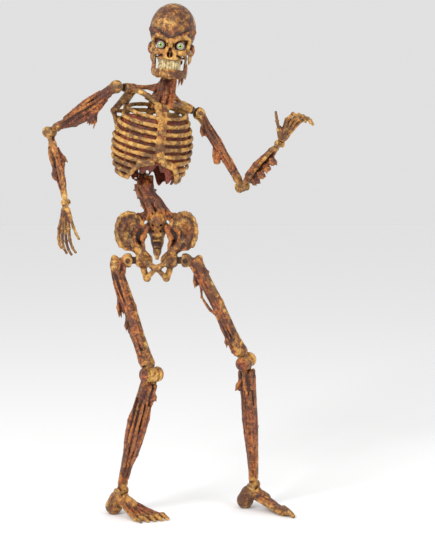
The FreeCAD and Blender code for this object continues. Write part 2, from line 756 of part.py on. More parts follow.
NECK_WAY = HEAD.Rotation.multVec(UP)
NECK_PIN_AXIS = HEAD.Rotation.multVec(Vector(1, 0, 0))
lumbar_low = HIP_CENTER + Vector(0, 40, 146)


def spine_link(label, low, high, low_ball, high_ball, radius, count, tools, extras=()):
    """A straight run of vertebrae between two round seats."""
    way = unit(high - low)
    start = low + way * number(low_ball + " + seat_gap")
    end = high - way * number(high_ball + " + seat_gap") if high_ball else high
    step = (end - start).Length / count
    discs = []
    core = primitive("Cylinder", label + "_core", {"Radius": radius + " * 0.8"}, along(start, way))
    core.Height = (end - start).Length
    discs.append(core)
    for index in range(count):
        disc = primitive("Cylinder", label + "_vertebra", {"Radius": radius})
        disc.Height = step * 0.7
        disc.Placement = along(start + way * (step * (index + 0.15)), way)
        discs.append(disc)
    whole = fuse(label + "_body", discs + list(extras))
    finish(label, cut(label, whole, tools) if tools else whole)
    return start, end


def neck_column():
    low = CHEST.multVec(chest_point(SPINE_ANGLES[1], 1))
    socket_depth = number("neck_stub_length + flange_thickness")
    high = HEAD.Base - NECK_WAY * (swivel_reach("neck") + socket_depth)
    collar = primitive("Cylinder", "neck_collar", {"Radius": "neck_radius"}, along(high, NECK_WAY))
    collar.Height = socket_depth
    joint = ball("neck_bend", high, "neck_radius")
    bore = socket_bore("neck", "neck", HEAD.Base, NECK_WAY)
    spine_link("neck_column", low, high, "spine_seat_radius", "", "neck_radius", 3, [bore], [collar, joint])


def lumbar_spine():
    high = CHEST.multVec(chest_point(SPINE_ANGLES[0], 1))
    start, end = spine_link(
        "lumbar_spine", lumbar_low, high, "lumbar_seat_radius", "spine_seat_radius", "lumbar_radius", 4, []
    )
    sleeve("waist_flesh", start, end, "lumbar_radius", "lumbar_radius", "waist_sleeve_wall", 0.06, 0.94)


JAW_HINGE = Vector(0, -14, 30)
TOOTH_LINE = 3.0
TEETH_PER_ROW = 10


def skull():
    """A thin brain case, the face block, the jaw's boss and the neck fork."""
    case_place = HEAD * Placement(Vector(0, -6, SIZE["skull_center_height"]), Rotation())
    case_sizes = {
        "Radius1": "skull_half_height",
        "Radius2": "skull_half_width",
        "Radius3": "skull_half_depth",
    }
    case = primitive("Ellipsoid", "brain_case", case_sizes, case_place)
    hollow_sizes = {key: value + " - skull_wall" for key, value in case_sizes.items()}
    hollow = primitive("Ellipsoid", "brain_hollow", hollow_sizes, case_place)
    face_sizes = {
        "Radius1": "face_half_height",
        "Radius2": "face_half_width",
        "Radius3": "face_half_depth",
    }
    face_place = HEAD * Placement(Vector(0, -64, 58), Rotation())
    orbits = []
    for sign in SIDES.values():
        spot = HEAD.multVec(Vector(sign * SIZE["eye_half_spacing"], -92, 66))
        orbits.append(ball("orbit", spot, "eye_radius + seat_gap", Rotation(UP, 180 if sign > 0 else 0)))
    face = cut("face", primitive("Ellipsoid", "face_block", face_sizes, face_place), orbits)
    boss = cross_cylinder("jaw_boss", HEAD.multVec(JAW_HINGE), Vector(1, 0, 0), "jaw_boss_radius", "jaw_hinge_half_width")
    boss.Placement = HEAD * Placement(JAW_HINGE - Vector(SIZE["jaw_hinge_half_width"], 0, 0), Rotation(UP, Vector(1, 0, 0)))
    neck_ball = joint_ball("neck_ball", HEAD.Base, "neck_ball_radius", NECK_WAY, NECK_PIN_AXIS, FRONT)
    stem = bar("skull_stem", HEAD.Base, HEAD.multVec(Vector(0, -6, 60)), "neck_ball_radius", "neck_ball_radius")
    flat = primitive("Box", "tooth_plane", {"Length": "4 * face_half_width", "Width": "2 * face_half_depth"})
    flat.Height = 80
    corner = Vector(-2 * SIZE["face_half_width"], -64 - 2 * SIZE["face_half_depth"] + 30, TOOTH_LINE + SIZE["tooth_length"] - 80)
    flat.Placement = HEAD * Placement(corner, Rotation())
    tools = [hollow, flat]
    for sign in SIDES.values():
        pin_spot = HEAD * Placement(
            JAW_HINGE + Vector(sign * (SIZE["jaw_hinge_half_width"] - 14), 0, 0),
            Rotation(UP, Vector(sign, 0, 0)),
        )
        bore_sizes = {"Radius": "jaw_pin_radius + running_gap", "Height": "30"}
        tools.append(primitive("Cylinder", "jaw_pin_bore", bore_sizes, pin_spot))
    whole = fuse("skull_body", [case, face, boss, neck_ball, stem])
    tools += ball_tools("neck", "neck", HEAD.Base, NECK_WAY, NECK_PIN_AXIS, (-18, 0, 18))
    finish("skull", cut("skull", whole, tools))


def eyes():
    balls = []
    for sign in SIDES.values():
        balls.append(ball("eye", HEAD.multVec(Vector(sign * SIZE["eye_half_spacing"], -92, 66)), "eye_radius"))
    finish("eyes", group("eyes", balls))


def tooth_row(label, low, high):
    """Ten round teeth on a horseshoe arch."""
    teeth = []
    for index in range(TEETH_PER_ROW):
        angle = math.radians(200 + 140 * index / (TEETH_PER_ROW - 1))
        spot = Vector(36 * math.cos(angle), -64 + 33 * math.sin(angle), low)
        tooth = primitive("Cylinder", label + "_tooth", {"Radius": "tooth_radius"})
        tooth.Height = high - low
        tooth.Placement = HEAD * Placement(spot, Rotation())
        teeth.append(tooth)
    finish(label, group(label, teeth))


def jaw():
    """The bow of the chin and two upright plates outside the skull's boss."""
    level = TOOTH_LINE - SIZE["side_gap"] - SIZE["tooth_length"]
    tube = SIZE["jaw_tube_radius"]
    bow_place = HEAD * Placement(Vector(0, -56, level - tube + 2), Rotation(UP, 180))
    bow = primitive("Torus", "jaw_bow", {"Radius1": "jaw_bow_radius - jaw_tube_radius", "Radius2": "jaw_tube_radius"}, bow_place)
    bow.Angle3 = 180
    plates = [bow]
    tools = []
    for sign in SIDES.values():
        inner = SIZE["jaw_hinge_half_width"] + SIZE["side_gap"]
        plate = primitive("Box", "jaw_plate", {"Length": "jaw_plate", "Width": "34", "Height": "1"})
        plate.setExpression("Height", cell("tooth_length + 2 * jaw_tube_radius + 44"))
        left_edge = inner if sign > 0 else -inner - SIZE["jaw_plate"]
        plate.Placement = HEAD * Placement(Vector(left_edge, -44, level - 2 * tube + 4), Rotation())
        plates.append(plate)
        foot = primitive("Box", "jaw_foot", {"Length": "40", "Width": "24", "Height": "20"})
        foot_edge = inner + SIZE["jaw_plate"] - 40 if sign > 0 else -inner - SIZE["jaw_plate"]
        foot.Placement = HEAD * Placement(Vector(foot_edge, -62, level - 2 * tube + 4), Rotation())
        plates.append(foot)
        bore_sizes = {"Radius": "jaw_pin_radius + running_gap", "Height": "60"}
        spot = Placement(JAW_HINGE + Vector(sign * 40, 0, 0), Rotation(UP, Vector(sign, 0, 0)))
        tools.append(primitive("Cylinder", "jaw_bore", bore_sizes, HEAD * spot))
    flat = primitive("Box", "jaw_flat", {"Length": "400", "Width": "120", "Height": "60"})
    flat.Placement = HEAD * Placement(Vector(-200, -44 - 120, level), Rotation())
    tools.append(flat)
    finish("jaw", cut("jaw", fuse("jaw_body", plates), tools))


def jaw_pins():
    pins = []
    for sign in SIDES.values():
        inner = SIZE["jaw_hinge_half_width"] - 12
        start = JAW_HINGE + Vector(sign * inner, 0, 0)
        shank = primitive("Cylinder", "jaw_pin_shank", {"Radius": "jaw_pin_radius"})
        shank.setExpression("Height", cell("12 + side_gap + jaw_plate"))
        shank.Placement = HEAD * Placement(start, Rotation(UP, Vector(sign, 0, 0)))
        outer = SIZE["jaw_hinge_half_width"] + SIZE["side_gap"] + SIZE["jaw_plate"]
        head_sizes = {"Radius": "pin_head_factor * jaw_pin_radius", "Height": "pin_head_height"}
        head = primitive("Cylinder", "jaw_pin_head", head_sizes)
        head.Placement = HEAD * Placement(JAW_HINGE + Vector(sign * outer, 0, 0), Rotation(UP, Vector(sign, 0, 0)))
        pins.append(fuse("jaw_pin", [shank, head]))
    finish("jaw_pins", group("jaw_pins", pins))


# ---------------------------------------------------------------- legs


def fork_pieces(label, joint, center, axis, way, shaft_end, end_radius):
    """A fork's two cheeks and the shaft that carries them, before the barrel's room is cut."""
    half = joint + "_barrel_half_width + side_gap + " + joint + "_cheek"
    cheeks = cross_cylinder(label + "_cheeks", center, axis, joint + "_barrel_radius", half)
    throat = center + way * number(joint + "_barrel_radius * 0.55")
    neck = center + way * number(joint + "_barrel_radius * 2.1")
    top = bar(label + "_throat", throat, neck, half, end_radius)
    shaft = bar(label + "_shaft", neck, shaft_end, end_radius, LIMB_END[label.rsplit("_", 1)[0]])
    return [cheeks, top, shaft], neck


# How far each hinge bends on from the standing pose.
MOST_BEND = {"knee": 52, "ankle": 20, "elbow": 32, "wrist": 40}
LIMB_END = {"shin": "shin_end_radius", "forearm": "forearm_end_radius"}


def fork_tools(label, joint, center, axis, back_way, back_radius, most_bend):
    """The barrel's room, the pin's bore and the room the upper bar needs when bent."""
    half = joint + "_barrel_half_width + side_gap + " + joint + "_cheek"
    tools = [barrel_joint_cut(label, center, axis, joint), pin_bore(label, center, axis, joint, half + " + 1")]
    for share in (0, 0.5, 1):
        way = Rotation(axis, -most_bend * share).multVec(back_way)
        reach = center + way * (3.2 * SIZE[joint + "_barrel_radius"])
        room = back_radius + " + 3 * side_gap"
        tools.append(bar(label + "_swing_room", center, reach, room, room + " + 1.5"))
    return tools


def barrel_piece(label, joint, center, axis):
    radius = joint + "_barrel_radius"
    return cross_cylinder(label + "_barrel", center, axis, radius, joint + "_barrel_half_width")


HIP_TILTS = (-35, 0, 35)


def thigh(side):
    """Ball, neck, trochanter and shaft down to the knee barrel."""
    sign = SIDES[side]
    label = "thigh_" + side
    axis = Vector(sign, 0, 0)
    pin_axis = pin_direction(axis)
    trochanter = hip[side] + Vector(sign * SIZE["femur_neck_length"], 0, -SIZE["femur_neck_drop"])
    inner = hip[side] + (trochanter - hip[side]) * 0.2
    pieces = [
        joint_ball(label + "_ball", hip[side], "hip_ball_radius", axis, pin_axis, UP * -1),
        bar(label + "_neck", inner, trochanter, "trochanter_radius * 0.7", "trochanter_radius * 0.8"),
        ball(label + "_trochanter", trochanter, "trochanter_radius"),
        bar(label + "_shaft", trochanter, knee[side], "thigh_top_radius", "thigh_end_radius"),
        barrel_piece(label, "knee", knee[side], knee_axis[side]),
    ]
    tools = ball_tools(label, "hip", hip[side], axis, pin_axis, HIP_TILTS)
    tools.append(pin_bore(label, knee[side], knee_axis[side], "knee", "knee_barrel_half_width + 1"))
    finish(label, cut(label, fuse(label + "_body", pieces), tools))
    sleeve(
        "thigh_flesh_" + side, trochanter, knee[side], "thigh_top_radius", "thigh_end_radius",
        "thigh_sleeve_wall", 0.14, 0.84,
    )
    swivel("hip_swivel_" + side, "hip", hip[side], axis, pin_axis)
    ball_pin("hip_pin_" + side, "hip", hip[side], pin_axis)
    hinge_pin(side, "knee", knee[side], knee_axis[side])


def shin(side):
    label = "shin_" + side
    way = unit(ankle[side] - knee[side])
    pieces, neck = fork_pieces(label, "knee", knee[side], knee_axis[side], way, ankle[side], "shin_top_radius")
    pieces.append(barrel_piece(label, "ankle", ankle[side], ankle_axis[side]))
    trochanter = hip[side] + Vector(SIDES[side] * SIZE["femur_neck_length"], 0, -SIZE["femur_neck_drop"])
    back = unit(trochanter - knee[side])
    tools = fork_tools(label, "knee", knee[side], knee_axis[side], back, "thigh_end_radius", MOST_BEND["knee"])
    tools.append(pin_bore(label, ankle[side], ankle_axis[side], "ankle", "ankle_barrel_half_width + 1"))
    finish(label, cut(label, fuse(label + "_body", pieces), tools))
    sleeve(
        "shin_flesh_" + side, neck, ankle[side], "shin_top_radius", "shin_end_radius",
        "shin_sleeve_wall", 0.05, 0.84,
    )
    hinge_pin(side, "ankle", ankle[side], ankle_axis[side])


TOE_SPREAD = (-1.0, -0.52, -0.05, 0.42, 0.85)
TOE_SHARE = (1.0, 0.94, 0.86, 0.78, 0.69)
TOE_THICKNESS = (1.25, 0.95, 0.9, 0.85, 0.8)


def foot(side):
    """Ankle fork, heel, instep and five toes on a flat sole."""
    sign = SIDES[side]
    label = "foot_" + side
    toes = heading(SIZE[side + "_foot_heading"])
    across = unit(toes.cross(UP))
    ground = Vector(ankle[side].x, ankle[side].y, 0)

    def spot(forward, sideways, height):
        return ground + toes * forward + across * sideways + UP * height

    half = "ankle_barrel_half_width + side_gap + ankle_cheek"
    pieces = [cross_cylinder(label + "_cheeks", ankle[side], ankle_axis[side], "ankle_barrel_radius", half)]
    heel = SIZE["heel_radius"]
    heel_spot = spot(heel - SIZE["heel_back"], 0, heel * 0.85)
    pieces.append(ball(label + "_heel", heel_spot, "heel_radius"))
    block = primitive(
        "Cylinder", label + "_ankle_block", {"Radius": half},
        Placement(spot(0, 0, 12), Rotation()),
    )
    block.setExpression("Height", cell("ankle_height - 14"))
    pieces.append(block)
    ball_line = SIZE["foot_length"] - SIZE["heel_back"] - 78
    for index, spread in enumerate(TOE_SPREAD):
        sideways = -sign * spread * (SIZE["foot_half_width"] - SIZE["toe_radius"])
        thick = "toe_radius * " + str(TOE_THICKNESS[index])
        thick_size = SIZE["toe_radius"] * TOE_THICKNESS[index]
        knuckle = spot(ball_line + 12 * TOE_SHARE[index], sideways, thick_size * 0.95)
        tip_reach = (SIZE["foot_length"] - SIZE["heel_back"]) * TOE_SHARE[index] - thick_size
        tip = spot(tip_reach, sideways * 1.12, thick_size * 0.9)
        root = spot(6, sideways * 0.4, 44)
        pieces.append(bar("%s_metatarsal_%d" % (label, index), root, knuckle, "toe_radius * 1.5", thick))
        pieces.append(ball("%s_knuckle_%d" % (label, index), knuckle, thick))
        pieces.append(bar("%s_toe_%d" % (label, index), knuckle, tip, thick, thick + " * 0.85"))
        pieces.append(ball("%s_tip_%d" % (label, index), tip, thick + " * 0.85"))
    sole = primitive("Box", label + "_sole_cut", {"Length": "4 * foot_length", "Width": "4 * foot_length", "Height": "100"})
    sole.Placement = Placement(ground - Vector(2, 2, 0) * SIZE["foot_length"] - Vector(0, 0, 100), Rotation())
    back = unit(knee[side] - ankle[side])
    tools = fork_tools(label, "ankle", ankle[side], ankle_axis[side], back, "shin_end_radius", MOST_BEND["ankle"])
    tools.append(sole)
    finish(label, cut(label, fuse(label + "_body", pieces), tools))


# ---------------------------------------------------------------- arms


def upper_arm(side):
    label = "upper_arm_" + side
    axis = SHOULDER_AXIS[side]
    pin_axis = pin_direction(axis)
    pieces = [
        joint_ball(
            label + "_ball", shoulder[side], "shoulder_ball_radius", axis, pin_axis, UPPER_ARM_WAY[side]
        ),
        bar(
            label + "_shaft", shoulder[side] + UPPER_ARM_WAY[side] * 18, elbow[side],
            "upper_arm_top_radius", "upper_arm_end_radius",
        ),
        barrel_piece(label, "elbow", elbow[side], elbow_axis[side]),
    ]
    tools = ball_tools(label, "shoulder", shoulder[side], axis, pin_axis, (-35, 0, 35))
    tools.append(pin_bore(label, elbow[side], elbow_axis[side], "elbow", "elbow_barrel_half_width + 1"))
    finish(label, cut(label, fuse(label + "_body", pieces), tools))
    sleeve(
        "upper_arm_flesh_" + side, shoulder[side] + UPPER_ARM_WAY[side] * 18, elbow[side],
        "upper_arm_top_radius", "upper_arm_end_radius", "upper_arm_sleeve_wall", 0.12, 0.82,
    )
    swivel("shoulder_swivel_" + side, "shoulder", shoulder[side], axis, pin_axis)
    ball_pin("shoulder_pin_" + side, "shoulder", shoulder[side], pin_axis)
    hinge_pin(side, "elbow", elbow[side], elbow_axis[side])


def forearm(side):
    label = "forearm_" + side
    way = FOREARM_WAY[side]
    pieces, neck = fork_pieces(label, "elbow", elbow[side], elbow_axis[side], way, wrist[side], "forearm_top_radius")
    pieces.append(barrel_piece(label, "wrist", wrist[side], wrist_axis[side]))
    back = UPPER_ARM_WAY[side] * -1
    tools = fork_tools(label, "elbow", elbow[side], elbow_axis[side], back, "upper_arm_end_radius", MOST_BEND["elbow"])
    tools.append(pin_bore(label, wrist[side], wrist_axis[side], "wrist", "wrist_barrel_half_width + 1"))
    finish(label, cut(label, fuse(label + "_body", pieces), tools))
    sleeve(
        "forearm_flesh_" + side, neck, wrist[side], "forearm_top_radius", "forearm_end_radius",
        "forearm_sleeve_wall", 0.05, 0.78,
    )
    hinge_pin(side, "wrist", wrist[side], wrist_axis[side])


# Fingers from the little one to the index: where each starts across the palm, its
# length as a share of the middle finger's, and how far it fans out.
FINGER_SPREAD = (-0.80, -0.28, 0.25, 0.78)
FINGER_SHARE = (0.76, 0.95, 1.0, 0.92)
FINGER_FAN = (-0.16, -0.05, 0.04, 0.14)
PHALANX_SHARE = (0.45, 0.31, 0.24)
CURL = {"left": (6, 16, 18), "right": (-30, -42, -30)}
THUMB_CURL = {"left": (0, 6, 8), "right": (-4, -10, -8)}
THUMB_WAY = {"left": 32, "right": -42}


def finger(label, root, out, bend_axis, length, curls, radius):
    """Three tapering bones with round knuckles, each turned on from the last."""
    pieces = [ball(label + "_root", root, radius)]
    spot = Vector(root)
    way = Vector(out)
    for index, share in enumerate(PHALANX_SHARE):
        way = Rotation(bend_axis, curls[index]).multVec(way)
        tip = spot + way * length * share
        thin = radius + " * " + str(round(1 - 0.13 * index, 2))
        thinner = radius + " * " + str(round(0.87 - 0.13 * index, 2))
        pieces.append(bar("%s_bone_%d" % (label, index), spot, tip, thin + " * 0.85", thinner + " * 0.85"))
        pieces.append(ball("%s_knuckle_%d" % (label, index), tip, thinner))
        spot = tip
    return pieces


def hand(side):
    """Wrist fork, palm, four fingers and a thumb in one moulding."""
    label = "hand_" + side
    out = HAND_WAY[side]
    across = unit(wrist_axis[side] - out * wrist_axis[side].dot(out))
    half = "wrist_barrel_half_width + side_gap + wrist_cheek"
    cheeks = cross_cylinder(label + "_cheeks", wrist[side], wrist_axis[side], "wrist_barrel_radius", half)
    throat = wrist[side] + out * SIZE["wrist_barrel_radius"] * 0.5
    heel = wrist[side] + out * SIZE["wrist_barrel_radius"] * 2.2
    pieces = [cheeks, bar(label + "_throat", throat, heel, half + " - 1", "palm_half_thickness * 1.3")]
    thumb_side = 1
    for index, spread in enumerate(FINGER_SPREAD):
        root = wrist[side] + out * SIZE["palm_length"] + across * (thumb_side * spread * SIZE["palm_half_width"])
        way = unit(out + across * (thumb_side * FINGER_FAN[index]))
        name = "%s_finger_%d" % (label, index)
        start = heel + across * (thumb_side * spread * 11)
        pieces.append(bar(name + "_palm", start, root, "palm_half_thickness", "finger_radius"))
        length = SIZE["finger_length"] * FINGER_SHARE[index]
        pieces += finger(name, root, way, across, length, CURL[side], "finger_radius")
    thumb_root = heel + across * (thumb_side * 12)
    angle = math.radians(THUMB_WAY[side])
    thumb_way = unit(out * math.cos(angle) + across * (thumb_side * math.sin(abs(angle))))
    thumb_mid = thumb_root + thumb_way * 34
    pieces.append(bar(label + "_thumb_palm", thumb_root, thumb_mid, "palm_half_thickness", "finger_radius"))
    pieces += finger(label + "_thumb", thumb_mid, thumb_way, across, 84, THUMB_CURL[side], "finger_radius")
    back = FOREARM_WAY[side] * -1
    tools = fork_tools(label, "wrist", wrist[side], wrist_axis[side], back, "forearm_end_radius", MOST_BEND["wrist"])
    finish(label, cut(label, fuse(label + "_body", pieces), tools))


# ---------------------------------------------------------------- build and write

pelvis()
lumbar_spine()
thoracic_spine()
sternum()
chest_lining()
neck_column()
skull()
eyes()
tooth_row("upper_teeth", TOOTH_LINE, TOOTH_LINE + SIZE["tooth_length"])
tooth_row("lower_teeth", TOOTH_LINE - SIZE["side_gap"] - SIZE["tooth_length"], TOOTH_LINE - SIZE["side_gap"])
jaw()
jaw_pins()
swivel("neck_swivel", "neck", HEAD.Base, NECK_WAY, NECK_PIN_AXIS)
ball_pin("nod_pin", "neck", HEAD.Base, NECK_PIN_AXIS)
for side in SIDES:
    ribs(side)
    collar_bone(side)
    shoulder_blade(side)
    upper_arm(side)
    forearm(side)
    hand(side)
    thigh(side)
    shin(side)
    foot(side)
doc.recompute()

for item in doc.Objects:
    if "Invalid" in item.State or "Error" in item.State:
        raise RuntimeError("%s (%s) did not build: %s" % (item.Label, item.TypeId, item.State))

# Put the origin under the middle of the whole figure; the soles are already on the floor.
box = FreeCAD.BoundBox()
for label, solid in parts_made:
    box.add(solid.Shape.optimalBoundingBox(False, False))
shift = Placement(Vector(-box.Center.x, -box.Center.y, 0), Rotation())
for label, solid in parts_made:
    solid.Placement = shift * solid.Placement
doc.recompute()

os.makedirs("parts", exist_ok=True)
for label, solid in parts_made:
    shape = solid.Shape
    if shape.isNull() or not shape.isValid():
        raise RuntimeError("%s has no valid shape" % label)
    shape.exportStep(os.path.join("parts", label + ".step"))
print("origin moved by %.3f %.3f %.3f" % tuple(shift.Base))
print("%d sub-parts written" % len(parts_made))


def print_joint(name, spot, axis):
    moved = shift.multVec(spot)
    values = (name, moved.x, moved.y, moved.z, axis.x, axis.y, axis.z)
    print("joint %s at %.3f %.3f %.3f along %.5f %.5f %.5f" % values)


for side in SIDES:
    toes = heading(SIZE[side + "_foot_heading"])
    heel_ground = Vector(ankle[side].x, ankle[side].y, 0) + toes * (SIZE["heel_radius"] - SIZE["heel_back"])
    sole = shift.multVec(heel_ground)
    print("sole sole_%s %.3f %.3f %.3f" % (side, sole.x, sole.y, sole.z))
print_joint("head_turn", HEAD.Base, NECK_WAY)
print_joint("head_nod", HEAD.Base, NECK_PIN_AXIS)
print_joint("jaw_open", HEAD.multVec(JAW_HINGE), HEAD.Rotation.multVec(Vector(1, 0, 0)))
for side, sign in SIDES.items():
    print_joint("shoulder_swing_" + side, shoulder[side], SHOULDER_AXIS[side] * -sign)
    print_joint("shoulder_lift_" + side, shoulder[side], pin_direction(SHOULDER_AXIS[side]))
    print_joint("elbow_" + side, elbow[side], elbow_axis[side])
    print_joint("wrist_" + side, wrist[side], wrist_axis[side])
    print_joint("hip_swing_" + side, hip[side], Vector(sign, 0, 0))
    print_joint("hip_splay_" + side, hip[side], pin_direction(Vector(sign, 0, 0)))
    print_joint("knee_" + side, knee[side], knee_axis[side])
    print_joint("ankle_" + side, ankle[side], ankle_axis[side])
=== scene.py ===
import json
import math
import bmesh
import bpy
import numpy as np
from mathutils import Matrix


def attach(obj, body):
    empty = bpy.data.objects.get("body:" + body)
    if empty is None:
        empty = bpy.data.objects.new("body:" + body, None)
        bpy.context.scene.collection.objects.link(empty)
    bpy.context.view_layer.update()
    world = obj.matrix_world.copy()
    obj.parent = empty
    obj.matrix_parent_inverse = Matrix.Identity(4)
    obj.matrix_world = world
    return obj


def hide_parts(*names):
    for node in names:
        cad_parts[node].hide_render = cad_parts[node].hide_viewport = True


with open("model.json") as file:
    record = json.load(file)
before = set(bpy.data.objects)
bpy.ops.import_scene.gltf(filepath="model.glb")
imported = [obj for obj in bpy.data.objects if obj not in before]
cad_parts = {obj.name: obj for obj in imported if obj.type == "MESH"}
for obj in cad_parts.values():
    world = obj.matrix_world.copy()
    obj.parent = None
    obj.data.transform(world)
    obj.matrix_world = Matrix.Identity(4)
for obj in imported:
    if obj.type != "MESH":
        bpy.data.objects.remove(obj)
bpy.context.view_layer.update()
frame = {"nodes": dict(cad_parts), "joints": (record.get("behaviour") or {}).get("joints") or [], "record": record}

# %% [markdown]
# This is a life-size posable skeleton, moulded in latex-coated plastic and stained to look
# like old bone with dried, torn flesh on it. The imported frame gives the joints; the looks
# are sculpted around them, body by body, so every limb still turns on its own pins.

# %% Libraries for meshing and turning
import openvdb
from mathutils import Matrix, Vector

# %% [markdown]
# Every hinge of the figure is listed in the frame. The sculpting works in millimetres, so
# the joints are read once as points and unit axes, and all places are worked out from them.

# %% Joints in millimetres
MM = 0.001
SIDES = {"left": -1, "right": 1}


def vec(*values):
    return np.array(values, dtype=float)


def unit(vector):
    return vector / np.linalg.norm(vector)


UP = vec(0, 0, 1)
JOINT = {joint["name"]: vec(*joint["pos_m"]) / MM for joint in frame["joints"]}
AXIS = {joint["name"]: unit(vec(*joint["axis"])) for joint in frame["joints"]}


def turned(vector, axis, degrees):
    """A vector turned about an axis."""
    return np.array(Matrix.Rotation(math.radians(degrees), 3, Vector(axis)) @ Vector(vector))


# %% [markdown]
# Bone and torn flesh have no straight edges, so they are modelled as clay: every piece is
# a sum of simple balls and tapered bars whose distance fields melt into each other, on a
# regular grid. Two fields are kept apart, bone and flesh, so that each point of the
# finished surface knows what it is made of. OpenVDB turns the zero level into a mesh.

# %% Clay: fields on a grid, in millimetres
GAP_FAR = 60.0


def melt(first, second, blend):
    """Smooth union of two distance fields."""
    if blend <= 0:
        return np.minimum(first, second)
    touch = np.maximum(blend - np.abs(first - second), 0) / blend
    return np.minimum(first, second) - touch * touch * blend * 0.25


def ball_shape(center, radii, turn=None):
    """The distance function of an ellipsoid and the corners of its box."""
    c = np.asarray(center, float)
    r = np.asarray(radii if np.ndim(radii) else [radii] * 3, float)
    m = np.eye(3) if turn is None else turn

    def shape(x, y, z):
        px, py, pz = x - c[0], y - c[1], z - c[2]
        q = [m[0, i] * px + m[1, i] * py + m[2, i] * pz for i in range(3)]
        k0 = np.sqrt(sum((q[i] / r[i]) ** 2 for i in range(3)))
        k1 = np.sqrt(sum((q[i] / r[i] ** 2) ** 2 for i in range(3))) + 1e-9
        return k0 * (k0 - 1) / k1

    return shape, c - r.max(), c + r.max()


def bar_shape(start, end, r0, r1):
    """The distance function of a tapered bar with round ends and the corners of its box."""
    a, b = np.asarray(start, float), np.asarray(end, float)
    way = b - a
    length2 = max(way @ way, 1e-6)

    def shape(x, y, z):
        px, py, pz = x - a[0], y - a[1], z - a[2]
        t = np.clip((px * way[0] + py * way[1] + pz * way[2]) / length2, 0, 1)
        gap = np.sqrt((px - t * way[0]) ** 2 + (py - t * way[1]) ** 2 + (pz - t * way[2]) ** 2)
        return gap - (r0 + (r1 - r0) * t)

    r = max(r0, r1)
    return shape, np.minimum(a, b) - r, np.maximum(a, b) + r


class Clay:
    """Two distance fields, bone and flesh, over one box of space."""

    def __init__(self, low, high, voxel):
        self.voxel = voxel
        self.low = np.floor(np.asarray(low) / voxel) * voxel
        self.count = np.ceil((np.asarray(high) - self.low) / voxel).astype(int) + 1
        self.axes = [self.low[i] + voxel * np.arange(self.count[i]) for i in range(3)]
        self.bone = np.full(self.count, GAP_FAR, dtype=np.float32)
        self.flesh = np.full(self.count, GAP_FAR, dtype=np.float32)

    def window(self, low, high):
        """Slices of the grid and the open coordinate arrays inside a box."""
        first = np.clip(np.floor((np.asarray(low) - self.low) / self.voxel).astype(int), 0, self.count - 1)
        last = np.clip(np.ceil((np.asarray(high) - self.low) / self.voxel).astype(int) + 1, 1, self.count)
        cut = tuple(slice(a, b) for a, b in zip(first, last))
        x, y, z = (self.axes[i][cut[i]] for i in range(3))
        return cut, x[:, None, None], y[None, :, None], z[None, None, :]

    def put(self, layer, shape, low, high, blend):
        """Melt a shape into one layer, only where it can matter."""
        margin = blend + 2 * self.voxel
        cut, x, y, z = self.window(np.asarray(low) - margin, np.asarray(high) + margin)
        if min(s.stop - s.start for s in cut) < 2:
            return
        field = getattr(self, layer)
        field[cut] = melt(field[cut], shape(x, y, z).astype(np.float32), blend)

    def bar(self, start, end, r0, r1, blend=4.0, layer="bone"):
        """A tapered bar with round ends."""
        self.put(layer, *bar_shape(start, end, r0, r1), blend)

    def path(self, points, radii, blend=3.0, layer="bone"):
        """A run of tapered bars through points."""
        for i in range(len(points) - 1):
            self.bar(points[i], points[i + 1], radii[i], radii[i + 1], blend, layer)

    def ball(self, center, radii, turn=None, blend=5.0, layer="bone"):
        """An ellipsoid; turn is a 3x3 matrix whose columns are its axes."""
        self.put(layer, *ball_shape(center, radii, turn), blend)

    def carve(self, shape, low, high, blend=2.0):
        """Take a shape away from both layers."""
        margin = blend + 2 * self.voxel
        cut, x, y, z = self.window(np.asarray(low) - margin, np.asarray(high) + margin)
        if min(s.stop - s.start for s in cut) < 2:
            return
        hole = -shape(x, y, z).astype(np.float32)
        for field in (self.bone, self.flesh):
            field[cut] = -melt(-field[cut], -hole, blend)

    def carve_ball(self, center, radii, turn=None, blend=3.0):
        self.carve(*ball_shape(center, radii, turn), blend)

    def carve_bar(self, start, end, r0, r1, blend=2.0):
        self.carve(*bar_shape(start, end, r0, r1), blend)

    def carve_ring(self, center, axis, radius, inner, outer, blend=0.6):
        """Take away a disc of space across a hinge: inner..outer along its axis, both sides."""
        c, n = np.asarray(center, float), np.asarray(axis, float)

        def shape(x, y, z):
            px, py, pz = x - c[0], y - c[1], z - c[2]
            side = np.abs(px * n[0] + py * n[1] + pz * n[2])
            gap = np.sqrt(np.maximum(px * px + py * py + pz * pz - side * side, 0))
            return np.maximum(np.maximum(gap - radius, inner - side), side - outer)

        reach = math.hypot(radius, outer)
        self.carve(shape, c - reach, c + reach, blend)


# %% Roughness that is the same every time
LATTICE = np.random.default_rng(11).random((32, 32, 32)).astype(np.float32) * 2 - 1


def value_noise(points, size):
    """Smooth random values between -1 and 1, one lump per size, at points (n, 3)."""
    q = points / size
    base = np.floor(q).astype(int)
    t = (q - base).astype(np.float32)
    t = t * t * (3 - 2 * t)
    total = np.zeros(len(points), dtype=np.float32)
    for i in (0, 1):
        for j in (0, 1):
            for k in (0, 1):
                corner = LATTICE[(base[:, 0] + i) % 32, (base[:, 1] + j) % 32, (base[:, 2] + k) % 32]
                wx = t[:, 0] if i else 1 - t[:, 0]
                wy = t[:, 1] if j else 1 - t[:, 1]
                wz = t[:, 2] if k else 1 - t[:, 2]
                total += corner * wx * wy * wz
    return total


